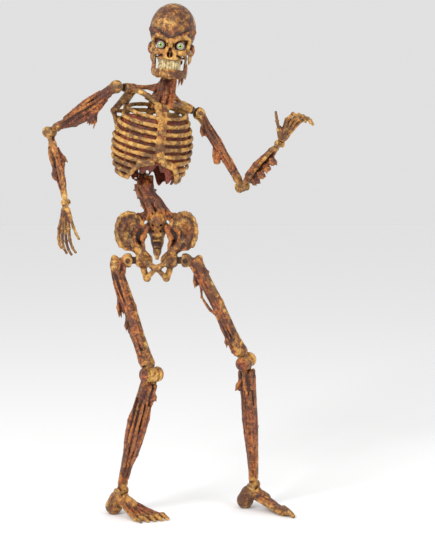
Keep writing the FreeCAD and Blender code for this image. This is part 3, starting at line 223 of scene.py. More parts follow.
def roughen(clay, bone_depth, flesh_depth, grain_way=None):
    """Lumps on both layers; flesh gets deeper ones, drawn out along the fibres."""
    for layer, depth in (("bone", bone_depth), ("flesh", flesh_depth)):
        field = getattr(clay, layer)
        near = np.abs(field) < depth * 2.5 + 2 * clay.voxel
        spots = np.argwhere(near)
        if not len(spots):
            continue
        points = clay.low + spots * clay.voxel
        if grain_way is not None and layer == "flesh":
            along = points @ grain_way
            points = points - np.outer(along * 0.72, grain_way)
        lumps = value_noise(points, 17) * 0.5 + value_noise(points + 91, 8.5) * 0.32
        lumps += value_noise(points + 47, 4.4) * 0.22
        field[near] += depth * lumps.astype(np.float32)


def soften(field, width):
    """Box blur of a field, twice, by running sums."""
    for _ in range(2):
        for axis in range(3):
            padded = np.concatenate(
                [np.repeat(np.take(field, [0], axis), width + 1, axis), field,
                 np.repeat(np.take(field, [-1], axis), width, axis)], axis)
            total = np.cumsum(padded, axis=axis, dtype=np.float64)
            high = np.take(total, range(2 * width + 1, total.shape[axis]), axis)
            low = np.take(total, range(0, total.shape[axis] - 2 * width - 1), axis)
            field = ((high - low) / (2 * width + 1)).astype(np.float32)
    return field


def sample(field, clay, points):
    """Trilinear reading of a field at points in millimetres."""
    q = (points - clay.low) / clay.voxel
    base = np.clip(np.floor(q).astype(int), 0, clay.count - 2)
    t = q - base
    total = np.zeros(len(points))
    for i in (0, 1):
        for j in (0, 1):
            for k in (0, 1):
                w = np.where(i, t[:, 0], 1 - t[:, 0]) * np.where(j, t[:, 1], 1 - t[:, 1]) * np.where(k,
                        t[:, 2], 1 - t[:, 2])
                total += w * field[base[:, 0] + i, base[:, 1] + j, base[:, 2] + k]
    return total


def cast(clay, name, place=None, quiet=(), blend=4.0, keep_bits=False):
    """Mesh the zero level of both layers; store what each point is made of and where it may be torn."""
    whole = melt(clay.bone, clay.flesh, blend)
    whole = np.clip(whole, -6 * clay.voxel, 6 * clay.voxel)
    for axis in range(3):
        for end in (0, -1):
            edge = [slice(None)] * 3
            edge[axis] = end
            whole[tuple(edge)] = 6 * clay.voxel
    grid = openvdb.FloatGrid(6 * clay.voxel)
    grid.copyFromArray(whole)
    points, quads = grid.convertToQuads(isovalue=0.0)
    points = points * clay.voxel + clay.low
    if not keep_bits:
        points, quads = largest_piece(points, quads)
    # ridge is higher where the surface stands out and lower where it sinks in; the paints turn it into painted
    # shade in the hollows and a painted highlight on the ridges.
    hollow = sample(soften(whole, 3), clay, points) / (3 * clay.voxel)
    flesh = 1 / (1 + np.exp(-(sample(clay.bone, clay, points) - sample(clay.flesh, clay, points)) / 1.5))
    calm = np.ones(len(points))
    for spot, reach in quiet:
        calm = np.minimum(calm, np.linalg.norm(points - spot, axis=1) > reach)
    mesh = bpy.data.meshes.new(name)
    mesh.from_pydata((points * MM).tolist(), [], quads.tolist())
    for label, values in (("flesh", flesh), ("ridge", hollow), ("torn", flesh * calm)):
        layer = mesh.attributes.new(label, "FLOAT", "POINT")
        layer.data.foreach_set("value", values.astype(np.float32))
    mesh.polygons.foreach_set("use_smooth", np.ones(len(quads), dtype=bool))
    mesh.update()
    if place is not None:
        mesh.transform(place)
    piece = bpy.data.objects.new(name, mesh)
    bpy.context.collection.objects.link(piece)
    print(f"{name}: {len(quads)} quads, grid {clay.count}")
    return piece


def largest_piece(points, quads):
    """Drops loose crumbs: keeps the largest connected set of faces."""
    parent = np.arange(len(points))
    while True:
        low = parent[quads].min(axis=1)
        before = parent.copy()
        for corner in range(4):
            np.minimum.at(parent, quads[:, corner], low)
        parent = parent[parent]
        if np.array_equal(parent, before):
            break
    labels, counts = np.unique(parent[quads[:, 0]], return_counts=True)
    keep = parent[quads[:, 0]] == labels[counts.argmax()]
    quads = quads[keep]
    used = np.unique(quads)
    index = np.zeros(len(points), dtype=int)
    index[used] = np.arange(len(used))
    return points[used], index[quads]


# %% [markdown]
# A limb of the real figure is a moulded shaft with strips of latex muscle laid over it. The
# strips are bars that run along the limb, bulge in the middle and leave furrows between them,
# which the paint darkens as painted shade. One side of a shaft can be left bare, so that pale
# bone shows.

# %% Strips of muscle along a shaft
def across(way, hint):
    """Two directions square to a shaft; the first leans towards a hint."""
    first = unit(hint - way * (hint @ way))
    return first, np.cross(way, first)


def muscle(clay, start, end, girth, count, seed, thick=5.5, bare=None, core=0.72, hint=(0, -1, 0)):
    """A flesh core and strips round it; girth lists radii from start to end."""
    rng = np.random.default_rng(seed)
    way = unit(end - start)
    first, second = across(way, vec(*hint))
    stations = np.linspace(0, 1, len(girth))
    push = vec(0, 0, 0)
    if bare is not None:
        push = -(first * math.cos(bare[0]) + second * math.sin(bare[0]))
    line = [start + (end - start) * share + push * reach * 0.3 for share, reach in zip(stations, girth)]
    clay.path(line, [reach * core for reach in girth], 4, "flesh")
    for index in range(count):
        angle = 2 * math.pi * (index + rng.uniform(-0.3, 0.3)) / count
        if bare is not None and abs((angle - bare[0] + math.pi) % (2 * math.pi) - math.pi) < bare[1]:
            continue
        begin, stop = rng.uniform(0, 0.16), rng.uniform(0.84, 1)
        twist = rng.uniform(-0.6, 0.6)
        points, radii = [], []
        for share in np.linspace(begin, stop, 8):
            reach = np.interp(share, stations, girth) * rng.uniform(0.84, 1.04)
            turn = angle + twist * (share - 0.5)
            spot = start + (end - start) * share
            points.append(spot + (first * math.cos(turn) + second * math.sin(turn)) * reach + push * reach * 0.12)
            swell = max(math.sin(math.pi * (share - begin) / (stop - begin)), 0) ** 0.6
            radii.append(thick * (0.4 + 0.7 * swell) * rng.uniform(0.8, 1.15))
        clay.path(points, radii, 2.5, "flesh")


def flap(clay, root, tip, wide, seed):
    """A hanging flap of torn flesh: a few strips that part towards the tip."""
    rng = np.random.default_rng(seed)
    way = unit(tip - root)
    first, second = across(way, vec(1, 0.2, 0))
    for index in range(4):
        side = (index - 1.5) / 1.5
        end = root + (tip - root) * rng.uniform(0.7, 1.0) + first * side * wide * 1.25
        middle = (root + end) / 2 + first * side * wide * 0.6 + second * rng.uniform(-5, 5)
        clay.path([root + first * side * wide * 0.5, middle, end], [6.5, 5.5, 1.6], 5, "flesh")


# %% [markdown]
# Each hinge is a barrel between two cheeks with a steel pin through them. The limb above
# ends in the barrel and the limb below carries the cheeks, so the same two cuts make every
# knee, ankle, elbow and wrist run free over its whole travel.

# %% Barrel and cheeks of a hinge
HINGES = {"knee": (27, 19, 9), "ankle": (17, 17, 7), "elbow": (20, 13, 7), "wrist": (12, 9, 5)}


def barrel(clay, kind, side, way_up):
    """The upper limb's end: a drum on the pin axis, free at both sides for the cheeks."""
    radius, half, _ = HINGES[kind]
    center, axis = JOINT[f"{kind}_{side}"], AXIS[f"{kind}_{side}"]
    reach = axis * (half - radius * 0.55)
    clay.bar(center - reach, center + reach, radius * 0.93, radius * 0.93, 2)
    clay.bar(center, center + way_up * radius * 2.2, half * 0.9, half * 0.95, 5)
    clay.carve_ring(center, axis, radius + 4.5, half - 0.4, half + 60)


def cheeks(clay, kind, side, way_down, swell=0.0):
    """The lower limb's end: a cheek at each side of the drum, joined below it."""
    radius, half, cheek = HINGES[kind]
    center, axis = JOINT[f"{kind}_{side}"], AXIS[f"{kind}_{side}"]
    for sign in (-1, 1):
        face = center + axis * sign * (half + cheek * 0.55 + 0.6)
        turn = np.column_stack([axis, *across(axis, way_down)])
        clay.ball(face, (cheek * 0.75 + swell, radius * 0.98, radius * 0.98), turn, 2)
        clay.bar(face, center + way_down * radius * 2.1 + axis * sign * half * 0.5, cheek * 0.9,
                 half * 0.6, 4)
    clay.carve_ring(center, axis, radius + 1.4, -1, half + 0.5)


def ball_slot(clay, center, inward, pin, radius, tilts, length=60):
    """Room for a swivel's tongue inside a ball, over its whole tilt."""
    clay.carve_ball(center, radius)
    for tilt in tilts:
        clay.carve_bar(center, center + turned(inward, pin, tilt) * length, radius, radius, 1)


def limb_clay(low_high, voxel, margin=60):
    points = np.array(low_high)
    return Clay(points.min(axis=0) - margin, points.max(axis=0) + margin, voxel)


# %% [markdown]
# The thigh is the femur: a ball in the hip, a short neck out to the trochanter, then a long
# shaft. The inner side of the shaft is bare and pale. The muscle covers the rest and swells
# into a thick collar above the knee.

# %% Thighs
def thigh(side):
    sign = SIDES[side]
    hip, knee = JOINT[f"hip_swing_{side}"], JOINT[f"knee_{side}"]
    trochanter = hip + vec(sign * 44, 0, -14)
    way = unit(knee - trochanter)
    clay = limb_clay([hip, knee, trochanter], 2.2)
    clay.ball(hip, 25.4, blend=1)
    clay.bar(hip + vec(sign * 14, 0, -4), trochanter, 17, 18)
    clay.ball(trochanter, (20, 22, 27))
    clay.ball(trochanter + vec(sign * 5, 6, 20), 13)
    front, other = across(way, vec(0, -1, 0))
    lean = vec(1, -0.35, 0) - way * (vec(1, -0.35, 0) @ way)
    lean = unit(lean)
    bend = [trochanter + way * 10, trochanter + (knee - trochanter) * 0.4 + lean * 9,
            trochanter + (knee - trochanter) * 0.75 + lean * 5, knee - way * 58]
    clay.path(bend, [19, 14.5, 14, 18], 8)
    clay.bar(knee - way * 70, knee - way * 42, 21, 25, 8)
    bare_angle = math.atan2(lean @ other, lean @ front)
    girth = [19, 25, 21, 18, 22, 28] if side == "left" else [17, 21, 17, 16, 22, 28]
    muscle(clay, trochanter + way * 4, knee - way * 46, girth, 11, 21 + sign, 6, (bare_angle, 0.85))
    for index in range(5):
        turn = index * 1.25
        spot = front * math.cos(turn) + other * math.sin(turn)
        clay.bar(hip + vec(sign * 24, 0, -3) + spot * 13, trochanter + way * 40 + spot * 19, 5, 7, 3,
                 "flesh")
    if side == "right":
        clay.path([trochanter + way * 55 - lean * 18, trochanter + way * 110 - lean * 42,
                   trochanter + way * 165 - lean * 34, trochanter + way * 215 - lean * 12], [6, 5, 5.5,
                           5], 3, "flesh")
        flap(clay, trochanter + way * 30 - lean * 20, trochanter + way * 78 - lean * 40, 9, 5)
        flap(clay, knee - way * 110 - lean * 16, knee - way * 62 - lean * 34, 8, 6)
    else:
        flap(clay, trochanter + way * 120 - lean * 22, trochanter + way * 195 - lean * 38, 9, 7)
        flap(clay, trochanter + way * 200 - lean * 18, trochanter + way * 262 - lean * 34, 8, 8)
    roughen(clay, 1.0, 3.4, way)
    barrel(clay, "knee", side, -way)
    clay.bar(knee + front * 26 - AXIS[f"knee_{side}"] * 6, knee + front * 26 + AXIS[f"knee_{side}"] * 6,
             11, 11, 3)
    clay.carve_ring(knee, AXIS[f"knee_{side}"], 34, 18.6, 80)
    ball_slot(clay, hip, vec(-sign, 0, 0), AXIS[f"hip_splay_{side}"], 17.6, (-20, -10, 0, 10, 20))
    piece = cast(clay, f"thigh_{side}_sculpt", quiet=[(hip, 55), (knee, 62)])
    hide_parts(f"thigh_{side}", f"thigh_flesh_{side}")
    return piece, f"thigh_body_{side}"


# %% [markdown]
# The shin has two bones, a thick tibia in front and a thin fibula outside it. The muscle is
# fullest a third of the way down at the back and thins to cords above the ankle.

# %% Shins
def shin(side):
    sign = SIDES[side]
    knee, ankle = JOINT[f"knee_{side}"], JOINT[f"ankle_{side}"]
    way = unit(ankle - knee)
    clay = limb_clay([knee, ankle], 2.2)
    front, other = across(way, turned(AXIS[f"knee_{side}"], way, 90))
    if front[1] > 0:
        front, other = -front, -other
    start = knee + way * 57
    end = ankle - way * 30
    clay.path([start, start + (end - start) * 0.4 + front * 6, end], [21, 14, 13], 6)
    outer = vec(sign, 0.3, 0) - way * (vec(sign, 0.3, 0) @ way)
    outer = unit(outer)
    clay.path([start + outer * 22, (start + end) / 2 + outer * 24, end + outer * 12], [9, 7, 8], 5)
    clay.bar(end, ankle, 14, 12, 5)
    wide = [26, 31, 33, 25, 18, 16] if side == "left" else [27, 23, 21, 19, 16, 17]
    muscle(clay, start - way * 10, end + way * 6, wide, 13, 33 + sign, 6, (2.4 * sign, 0.35), 0.66)
    for index in range(6):
        turn = index * 1.05 + 0.4
        spot = front * math.cos(turn) + other * math.sin(turn)
        clay.bar(knee + way * 36 + spot * 24, knee + way * 95 + spot * 25, 7, 5, 4, "flesh")
    flap(clay, start + way * 10 - outer * 18, start + way * 52 - outer * 36, 8, 14 + sign)
    roughen(clay, 1.0, 3.6, way)
    half = HINGES["knee"][1]
    axis = AXIS[f"knee_{side}"]
    for edge in (-1, 1):
        clay.ball(knee + axis * edge * (half + 10), (14, 25, 25),
                  np.column_stack([axis, *across(axis, way)]), 3, "flesh")
    cheeks(clay, "knee", side, way, 2)
    barrel(clay, "ankle", side, -way)
    piece = cast(clay, f"shin_{side}_sculpt", quiet=[(knee, 60), (ankle, 50)])
    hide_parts(f"shin_{side}", f"shin_flesh_{side}")
    return piece, f"shin_body_{side}"


# %% [markdown]
# A foot is a heel, a wedge of small ankle bones and five rays, each a metatarsal and a toe.
# The great toe lies on the inner side and is the longest. Everything is cut flat at the
# sole, because the figure stands on its two feet.

# %% Feet
def foot(side):
    sign = SIDES[side]
    ankle, knee = JOINT[f"ankle_{side}"], JOINT[f"knee_{side}"]
    toes = np.cross(UP, AXIS[f"ankle_{side}"])
    toes = unit(toes * (1 if toes[0] > 0 else -1))
    near = np.cross(toes, UP)
    ground = vec(ankle[0], ankle[1], 0)

    def spot(forward, sideways, height):
        return ground + toes * forward + near * sideways + UP * height

    clay = limb_clay([spot(-50, 0, 0), spot(205, 0, 0), ankle], 2.0, 50)
    clay.ball(spot(-34, 0, 26), (29, 29, 27))
    clay.path([spot(-30, 0, 40), spot(0, 0, 62), spot(48, 0, 46)], [22, 24, 20], 10)
    clay.path([spot(-34, 0, 30), spot(-22, 0, 58), ankle - UP * 12], [26, 22, 19], 12)
    for index, reach in enumerate((187, 174, 159, 143, 126)):
        spread = -sign * (-33 + 16.5 * index)
        thick = 11.5 - 1.1 * index
        knuckle = spot(reach * 0.68, spread, thick)
        middle = spot(reach * 0.84, spread * 1.12, thick * 1.55)
        tip = spot(reach - thick, spread * 1.2, thick * 0.62)
        clay.path([spot(18, spread * 0.45, 46), knuckle, middle, tip],
                  [10, thick, thick * 0.8, thick * 0.62], 3)
        clay.ball(knuckle + UP * 3, thick * 1.05, blend=2)
        for cord in (-4, 4):
            clay.path([spot(8, spread * 0.35 + cord, 62), spot(reach * 0.45, spread * 0.8 + cord, 36),
                       spot(reach * 0.72, spread * 1.05 + cord * 0.5, thick * 2.0)], [5, 3.6,
                               2.2], 2, "flesh")
    for index in range(7):
        angle = 2.2 + index * 0.65
        out = toes * math.cos(angle) * 22 + near * math.sin(angle) * 21
        clay.bar(ground + out + UP * 34, ankle + out * 0.85 + UP * 2, 6, 4.5, 3, "flesh")
    roughen(clay, 0.9, 2.4, toes)
    cheeks(clay, "ankle", side, -UP, 3)
    way_up = unit(knee - ankle)
    for tilt in (-20, -10, 0, 10, 20):
        clay.carve_bar(ankle, ankle + turned(way_up, AXIS[f"ankle_{side}"], tilt) * 70, 20, 24, 1)
    clay.carve_ring(ankle, AXIS[f"ankle_{side}"], 19.5, -1, 17.5)
    flat = clay.axes[2][None, None, :]
    for field in (clay.bone, clay.flesh):
        np.maximum(field, 0.4 - flat, out=field)
    piece = cast(clay, f"foot_{side}_sculpt", quiet=[(ankle, 75), (ground, 40), (spot(120, 0, 0), 40)])
    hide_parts(f"foot_{side}")
    return piece, f"foot_body_{side}"


# %% [markdown]
# The arms are built like the legs, only thinner. The upper arm carries a slack muscle that
# hangs below it, and the lower arm has the radius and the ulna side by side.

# %% Arms
def upper_arm(side):
    sign = SIDES[side]
    shoulder, elbow = JOINT[f"shoulder_swing_{side}"], JOINT[f"elbow_{side}"]
    way = unit(elbow - shoulder)
    clay = limb_clay([shoulder, elbow], 2.0)
    swing = AXIS[f"shoulder_swing_{side}"]
    inward = swing if swing[0] * sign < 0 else -swing
    clay.ball(shoulder, 22.4, blend=1)
    clay.path([shoulder - inward * 6, shoulder + way * 90, elbow - way * 50], [18, 11, 12], 8)
    clay.bar(elbow - way * 50, elbow - way * 34, 13, 16, 5)
    girth = [20, 21, 19, 16, 15] if side == "left" else [18, 16, 14, 13, 15]
    muscle(clay, shoulder + way * 22 - inward * 4, elbow - way * 36, girth, 9, 51 + sign, 5, (2.8, 0.4),
           0.6)
    down = unit(vec(0, 0, -1) - way * (vec(0, 0, -1) @ way))
    if side == "left":
        clay.path([shoulder + way * 60 + down * 16, shoulder + way * 130 + down * 34,
                   shoulder + way * 205 + down * 26,
                   elbow - way * 52 + down * 12], [8, 11, 9, 6], 6, "flesh")
        flap(clay, shoulder + way * 120 + down * 30, shoulder + way * 160 + down * 66, 10, 61)
    else:
        flap(clay, shoulder + way * 150 - vec(14, 0, 0), shoulder + way * 205 - vec(36, 0, 10), 8, 62)
        flap(clay, shoulder + way * 60 - vec(14, 0, 0), shoulder + way * 105 - vec(30, 0, 0), 7, 63)
    for index in range(5):
        turn = turned(-inward, way, -70 + 35 * index)
        clay.bar(shoulder + turn * 19, shoulder + way * 70 + turn * 17, 5, 6, 3, "flesh")
    roughen(clay, 0.8, 2.6, way)
    barrel(clay, "elbow", side, -way)
    ball_slot(clay, shoulder, inward, AXIS[f"shoulder_lift_{side}"], 14.6, (-25, -12, 0, 12, 25))
    piece = cast(clay, f"upper_arm_{side}_sculpt", quiet=[(shoulder, 50), (elbow, 48)])
    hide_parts(f"upper_arm_{side}", f"upper_arm_flesh_{side}")
    return piece, f"upper_arm_body_{side}"


def forearm(side):
    sign = SIDES[side]
    elbow, wrist = JOINT[f"elbow_{side}"], JOINT[f"wrist_{side}"]
    way = unit(wrist - elbow)
    clay = limb_clay([elbow, wrist], 2.0)
    axis = AXIS[f"wrist_{side}"]
    spread = unit(axis - way * (axis @ way))
    start, end = elbow + way * 42, wrist - way * 24
    clay.path([start + spread * 4, (start + end) / 2 + spread * 12, end + spread * 5], [12, 7.5, 8], 4)
    clay.path([start - spread * 4, (start + end) / 2 - spread * 12, end - spread * 5], [12, 7, 7], 4)
    girth = [17, 20, 17, 12, 11] if side == "left" else [18, 22, 20, 15, 12]
    muscle(clay, start - way * 6, end - way * 4, girth, 9, 71 + sign, 5, (0.6, 0.5), 0.55)
    down = unit(vec(0.2 * sign, 0, -1) - way * (vec(0.2 * sign, 0, -1) @ way))
    if side == "right":
        for index in range(4):
            root = start + (end - start) * (0.12 + 0.22 * index) + down * 16
            flap(clay, root, root + down * 26 + way * (8 - 5 * index), 7, 80 + index)
    else:
        out = unit(vec(1, 0, 0) - way * way[0])
        flap(clay, start + way * 40 + out * 12, start + way * 82 + out * 30, 8, 84)
        flap(clay, start + way * 92 - out * 10, start + way * 132 - out * 22, 6, 85)
    roughen(clay, 0.8, 2.6, way)
    cheeks(clay, "elbow", side, way, 1)
    barrel(clay, "wrist", side, -way)
    piece = cast(clay, f"forearm_{side}_sculpt", quiet=[(elbow, 46), (wrist, 40)])
    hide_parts(f"forearm_{side}", f"forearm_flesh_{side}")
    return piece, f"forearm_body_{side}"


# %% [markdown]
# A hand is a palm of four metacarpals and a thumb ray, then fingers of three bones with
# round knuckles. The left hand hangs nearly straight; the right one beckons, so each of its
# fingers turns on further at every knuckle.

# %% Hands
HAND_WAY = {"left": unit(vec(-0.06, -0.12, -0.99)), "right": unit(vec(0.45, -0.35, 0.82))}
FINGER_SPREAD = (-0.80, -0.28, 0.25, 0.78)
FINGER_FAN = (-0.16, -0.05, 0.04, 0.14)
FINGER_LENGTH = (73, 91, 96, 88)
PHALANX_SHARE = (0.45, 0.31, 0.24)
CURL = {"left": (6, 16, 18), "right": (-30, -42, -30)}
THUMB_CURL = {"left": (0, 6, 8), "right": (-4, -10, -8)}
THUMB_ANGLE = {"left": 32, "right": 42}
PALM_LENGTH, PALM_HALF_WIDTH = 92, 32


def finger(clay, root, way, bend_axis, length, curls, radius):
    spot = root
    for index, share in enumerate(PHALANX_SHARE):
        way = turned(way, bend_axis, curls[index])
        tip = spot + way * length * share
        thin = radius * (1 - 0.13 * index)
        clay.bar(spot, tip, thin * 0.74, thin * 0.68, 1.5)
        clay.ball(spot, thin * 1.02, blend=1.5)
        side = across(way, bend_axis)[1]
        clay.bar(spot + side * thin * 0.55, tip + side * thin * 0.35, 2.4, 1.6, 1.5, "flesh")
        spot = tip
    clay.ball(spot, radius * 0.62, blend=1.5)


def hand(side):
    wrist = JOINT[f"wrist_{side}"]
    out = HAND_WAY[side]
    axis = AXIS[f"wrist_{side}"]
    wide = unit(axis - out * (axis @ out))
    reach = out * (PALM_LENGTH + 110)
    clay = limb_clay([wrist, wrist + reach, wrist + reach * 0.6 + wide * 70,
                      wrist + reach * 0.6 - wide * 40,
                      wrist + out * 90 + np.cross(out, wide) * 80, wrist + out * 90 - np.cross(out,
                              wide) * 80], 1.6, 26)
    heel = wrist + out * 26
    clay.bar(wrist + out * 22, heel + out * 8, 12, 14, 5)
    for index, spread in enumerate(FINGER_SPREAD):
        root = wrist + out * PALM_LENGTH + wide * spread * PALM_HALF_WIDTH
        start = heel + wide * spread * 12
        clay.path([start, (start + root) / 2, root], [9, 5.6, 7], 3)
        clay.bar(start, root, 4, 5, 4, "flesh")
        way = unit(out + wide * FINGER_FAN[index])
        finger(clay, root, way, wide, FINGER_LENGTH[index], CURL[side], 7.5)
    thumb_root = heel + wide * 12
    angle = math.radians(THUMB_ANGLE[side])
    thumb_way = unit(out * math.cos(angle) + wide * math.sin(angle))
    thumb_middle = thumb_root + thumb_way * 34
    clay.bar(thumb_root, thumb_middle, 9.5, 7.5, 5)
    clay.bar(thumb_root + out * 14, thumb_middle + out * 10, 7, 4, 8, "flesh")
    finger(clay, thumb_middle, thumb_way, wide, 84, THUMB_CURL[side], 7.5)
    roughen(clay, 0.6, 1.2, out)
    cheeks(clay, "wrist", side, out, 0.5)
    clay.carve_ring(wrist, axis, 15, -1, 9.4)
    piece = cast(clay, f"hand_{side}_sculpt", quiet=[(wrist, 300)])
    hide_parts(f"hand_{side}")
    return piece, f"hand_body_{side}"


# %% [markdown]
# The pelvis is a ring with two fans on it. Each fan is a thin bowl with a thick rim, the
# sacrum closes the ring behind, and the two seat bones hang below. Webs of dried flesh run
# from the rims up to the waist.

# %% Pelvis
HIPS = (JOINT["hip_swing_left"] + JOINT["hip_swing_right"]) / 2


def both(point, sign):
    return vec(point[0] * sign, point[1], point[2])


def pelvis():
    clay = Clay((-178, -110, -95), (178, 100, 185), 2.4)
    for sign in SIDES.values():
        turn = np.array(Matrix.Rotation(math.radians(-24 * sign), 3,
                                        "Z") @ Matrix.Rotation(math.radians(12 * sign), 3, "Y"))
        center = vec(92 * sign, 4, 96)
        clay.ball(center, (53, 11, 72), turn, 3)
        rim = []
        for angle in np.linspace(-0.5, math.pi + 0.35, 12):
            rim.append(center + turn @ vec(52 * math.cos(angle) * sign, -2, 70 * math.sin(angle)))
        clay.path(rim, [9, 8, 7, 7, 7.5, 8, 8, 7.5, 7, 7, 8, 9], 5)
        clay.carve_ball(center + turn @ vec(0, -36, 4), (40, 33, 56), turn, 4)
        clay.bar(vec(44 * sign, -2, 12), center + turn @ vec(0, 2, -30), 20, 16, 8)
        clay.bar(vec(38 * sign, 0, 0), vec(58 * sign, 0, 0), 25, 25, 5)
        clay.path([vec(50 * sign, 2, -8), vec(44 * sign, -4, -40), vec(34 * sign, -8, -62)], [13, 10, 13],
                  5)
        clay.path([vec(34 * sign, -8, -62), vec(22 * sign, -26, -48), vec(6 * sign, -38, -30)], [12, 8, 9],
                  5)
        clay.path([vec(52 * sign, -12, 18), vec(34 * sign, -34, -6), vec(6 * sign, -42, -22)], [12, 9, 11],
                  5)
        clay.path([vec(70 * sign, 26, 90), vec(46 * sign, 40, 104), vec(22 * sign, 42, 118)], [14, 14, 16],
                  8)
        clay.path([vec(112 * sign, 4, 150), vec(66 * sign, 26, 158), vec(30 * sign, 38, 164)], [4, 6, 10],
                  8, "flesh")
        clay.path([vec(88 * sign, 6, 128), vec(52 * sign, 26, 140), vec(22 * sign, 36, 160)], [6, 8, 10],
                  8, "flesh")
        clay.path([vec(100 * sign, 0, 44), vec(84 * sign, -6, 18), vec(56 * sign, -10, -6)], [7, 8, 7], 6,
                  "flesh")
        clay.path([vec(34 * sign, 22, 112), vec(50 * sign, 2, 78), vec(44 * sign, -10, 40)], [11, 9, 6], 7,
                  "flesh")
        clay.path([vec(60 * sign, 18, 122), vec(78 * sign, -2, 96), vec(74 * sign, -8, 60)], [8, 6, 5], 7,
                  "flesh")
    clay.path([vec(0, 36, 140), vec(0, 50, 100), vec(0, 52, 60), vec(0, 40, 26), vec(0, 22, 6)],
              [34, 30, 21, 13, 7], 8)
    for index in range(4):
        for sign in SIDES.values():
            clay.carve_ball(vec(14 * sign, 16 + 4 * index, 122 - 22 * index), (4.5, 9, 4), None, 2)
        clay.bar(vec(-17 + 3 * index, 24, 111 - 22 * index), vec(17 - 3 * index, 24, 111 - 22 * index),
                 3.5, 3.5, 4)
    clay.ball(vec(0, 40, 146), (24, 22, 14))
    roughen(clay, 1.3, 4.0)
    for sign in SIDES.values():
        side = "left" if sign < 0 else "right"
        hip = JOINT[f"hip_swing_{side}"] - HIPS
        clay.carve_ball(hip, 35, None, 1)
    place = Matrix.Translation(Vector(HIPS) * MM)
    quiet = [(JOINT[f"hip_swing_{side}"] - HIPS, 70) for side in SIDES]
    piece = cast(clay, "pelvis_sculpt", place, quiet)
    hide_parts("pelvis")
    return piece, "torso"


# %% [markdown]
# The chest is an egg of ten pairs of ribs round a dark lining. A rib lies in a plane that
# tilts down to the front, so its line is part of an ellipse cut from the egg. The top seven
# reach the breastbone. The last three end in one pale arch of gristle on each side.

# %% Rib cage: its own frame and its ribs
CHEST_BASE = HIPS + vec(-13, -10, 400)
CHEST_TURN = Matrix.Rotation(math.radians(7), 3, "Y") @ Matrix.Rotation(math.radians(20), 3, "Z")
CHEST_PLACE = Matrix.Translation(Vector(CHEST_BASE) * MM) @ CHEST_TURN.to_4x4()
CHEST_SIZE = vec(140, 95, 176)
RIB_TILT = math.radians(18)
RIB_TOP, RIB_STEP, RIB_COUNT, RIBS_JOINED = 122, 25, 10, 7


def to_chest(point):
    """A point of the whole figure in the rib cage's own frame."""
    return np.array(CHEST_TURN.transposed() @ Vector(point - CHEST_BASE))


def rib_line(index, sign, last, count=22):
    """Points of one rib from the spine (0) round to the front (180 degrees)."""
    width, depth, tall = CHEST_SIZE
    height = RIB_TOP - RIB_STEP * index
    slope = math.cos(RIB_TILT) ** 2 / depth ** 2 + math.sin(RIB_TILT) ** 2 / tall ** 2
    shift = -height * math.sin(RIB_TILT) / (tall ** 2 * slope)
    scale = 1 - height ** 2 / tall ** 2 + slope * shift ** 2
    wide, deep = width * math.sqrt(scale), math.sqrt(scale / slope)
    points = []
    for angle in np.radians(np.linspace(9, last, count)):
        forward = shift + deep * math.cos(angle)
        points.append(vec(sign * wide * math.sin(angle), forward * math.cos(RIB_TILT),
                          height + forward * math.sin(RIB_TILT)))
    return points


def middle_point(degrees, front):
    angle = math.radians(degrees)
    return vec(0, front * CHEST_SIZE[1] * math.cos(angle), CHEST_SIZE[2] * math.sin(angle))


def rib_cage():
    clay = Clay((-168, -128, -160), (168, 150, 180), 2.5)
    for sign in SIDES.values():
        ends = []
        for index in range(RIB_COUNT):
            last = 172 if index < RIBS_JOINED else 150 - 10 * (index - RIBS_JOINED)
            line = rib_line(index, sign, last)
            thick = 5.6 if index else 5.0
            radii = [thick * (1 + 0.25 * math.sin(index * 1.7 + step * 0.8) ** 2) for step in range(len(line))]
            for above in (-1.6, 1.6):
                lifted = [point + vec(0, 0, above) for point in line]
                clay.path(lifted, [radius * 0.9 for radius in radii], 1.5)
            ends.append(line[-1])
        arch = [ends[6], ends[7] + vec(0, -4, 6), ends[8] + vec(0, -3, 4), ends[9]]
        clay.path(arch, [8, 8, 7.5, 6.5], 5)
        clay.path([middle_point(-12, -1), ends[7] + vec(-4 * sign, -5, 14), ends[8]], [8, 7.5, 6], 5)
    plate = [middle_point(degrees, -1) for degrees in (-16, -6, 6, 18, 30, 40, 50)]
    widths = (5, 10, 11, 9, 9, 14, 20)
    for share in (-1, -0.4, 0.4, 1):
        clay.path([point + vec(share * wide, abs(share) * 1.5, 0) for point, wide in zip(plate, widths)],
                  [5, 6.5, 7, 6.5, 7, 8, 9], 5)
    for step in range(7):
        spot = middle_point(-10 + 8.5 * step, -1) + vec(0, -6, 0)
        clay.bar(spot - vec(9, 0, 0), spot + vec(9, 0, 0), 3.2, 3.2, 4)
    clay.path([middle_point(-58 + 10 * step, 1) for step in range(13)], [12] * 13, 4)
    for step in range(13):
        spot = middle_point(-58 + 10 * step, 1)
        clay.ball(spot, (19, 15, 11), None, 4)
        away = unit(spot * vec(0, 1, 0.6))
        clay.path([spot + away * 10, spot + away * 24 + vec(0, 0, -8)], [7, 3.5], 4)
        for sign in SIDES.values():
            clay.path([spot + vec(12 * sign, 6, 2), spot + vec(27 * sign, 12, 5)], [6, 4], 4)
    roughen(clay, 1.1, 3)
    piece = cast(clay, "rib_cage_sculpt", CHEST_PLACE)
    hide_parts("ribs_left", "ribs_right", "sternum", "thoracic_spine")
    return piece, "torso"


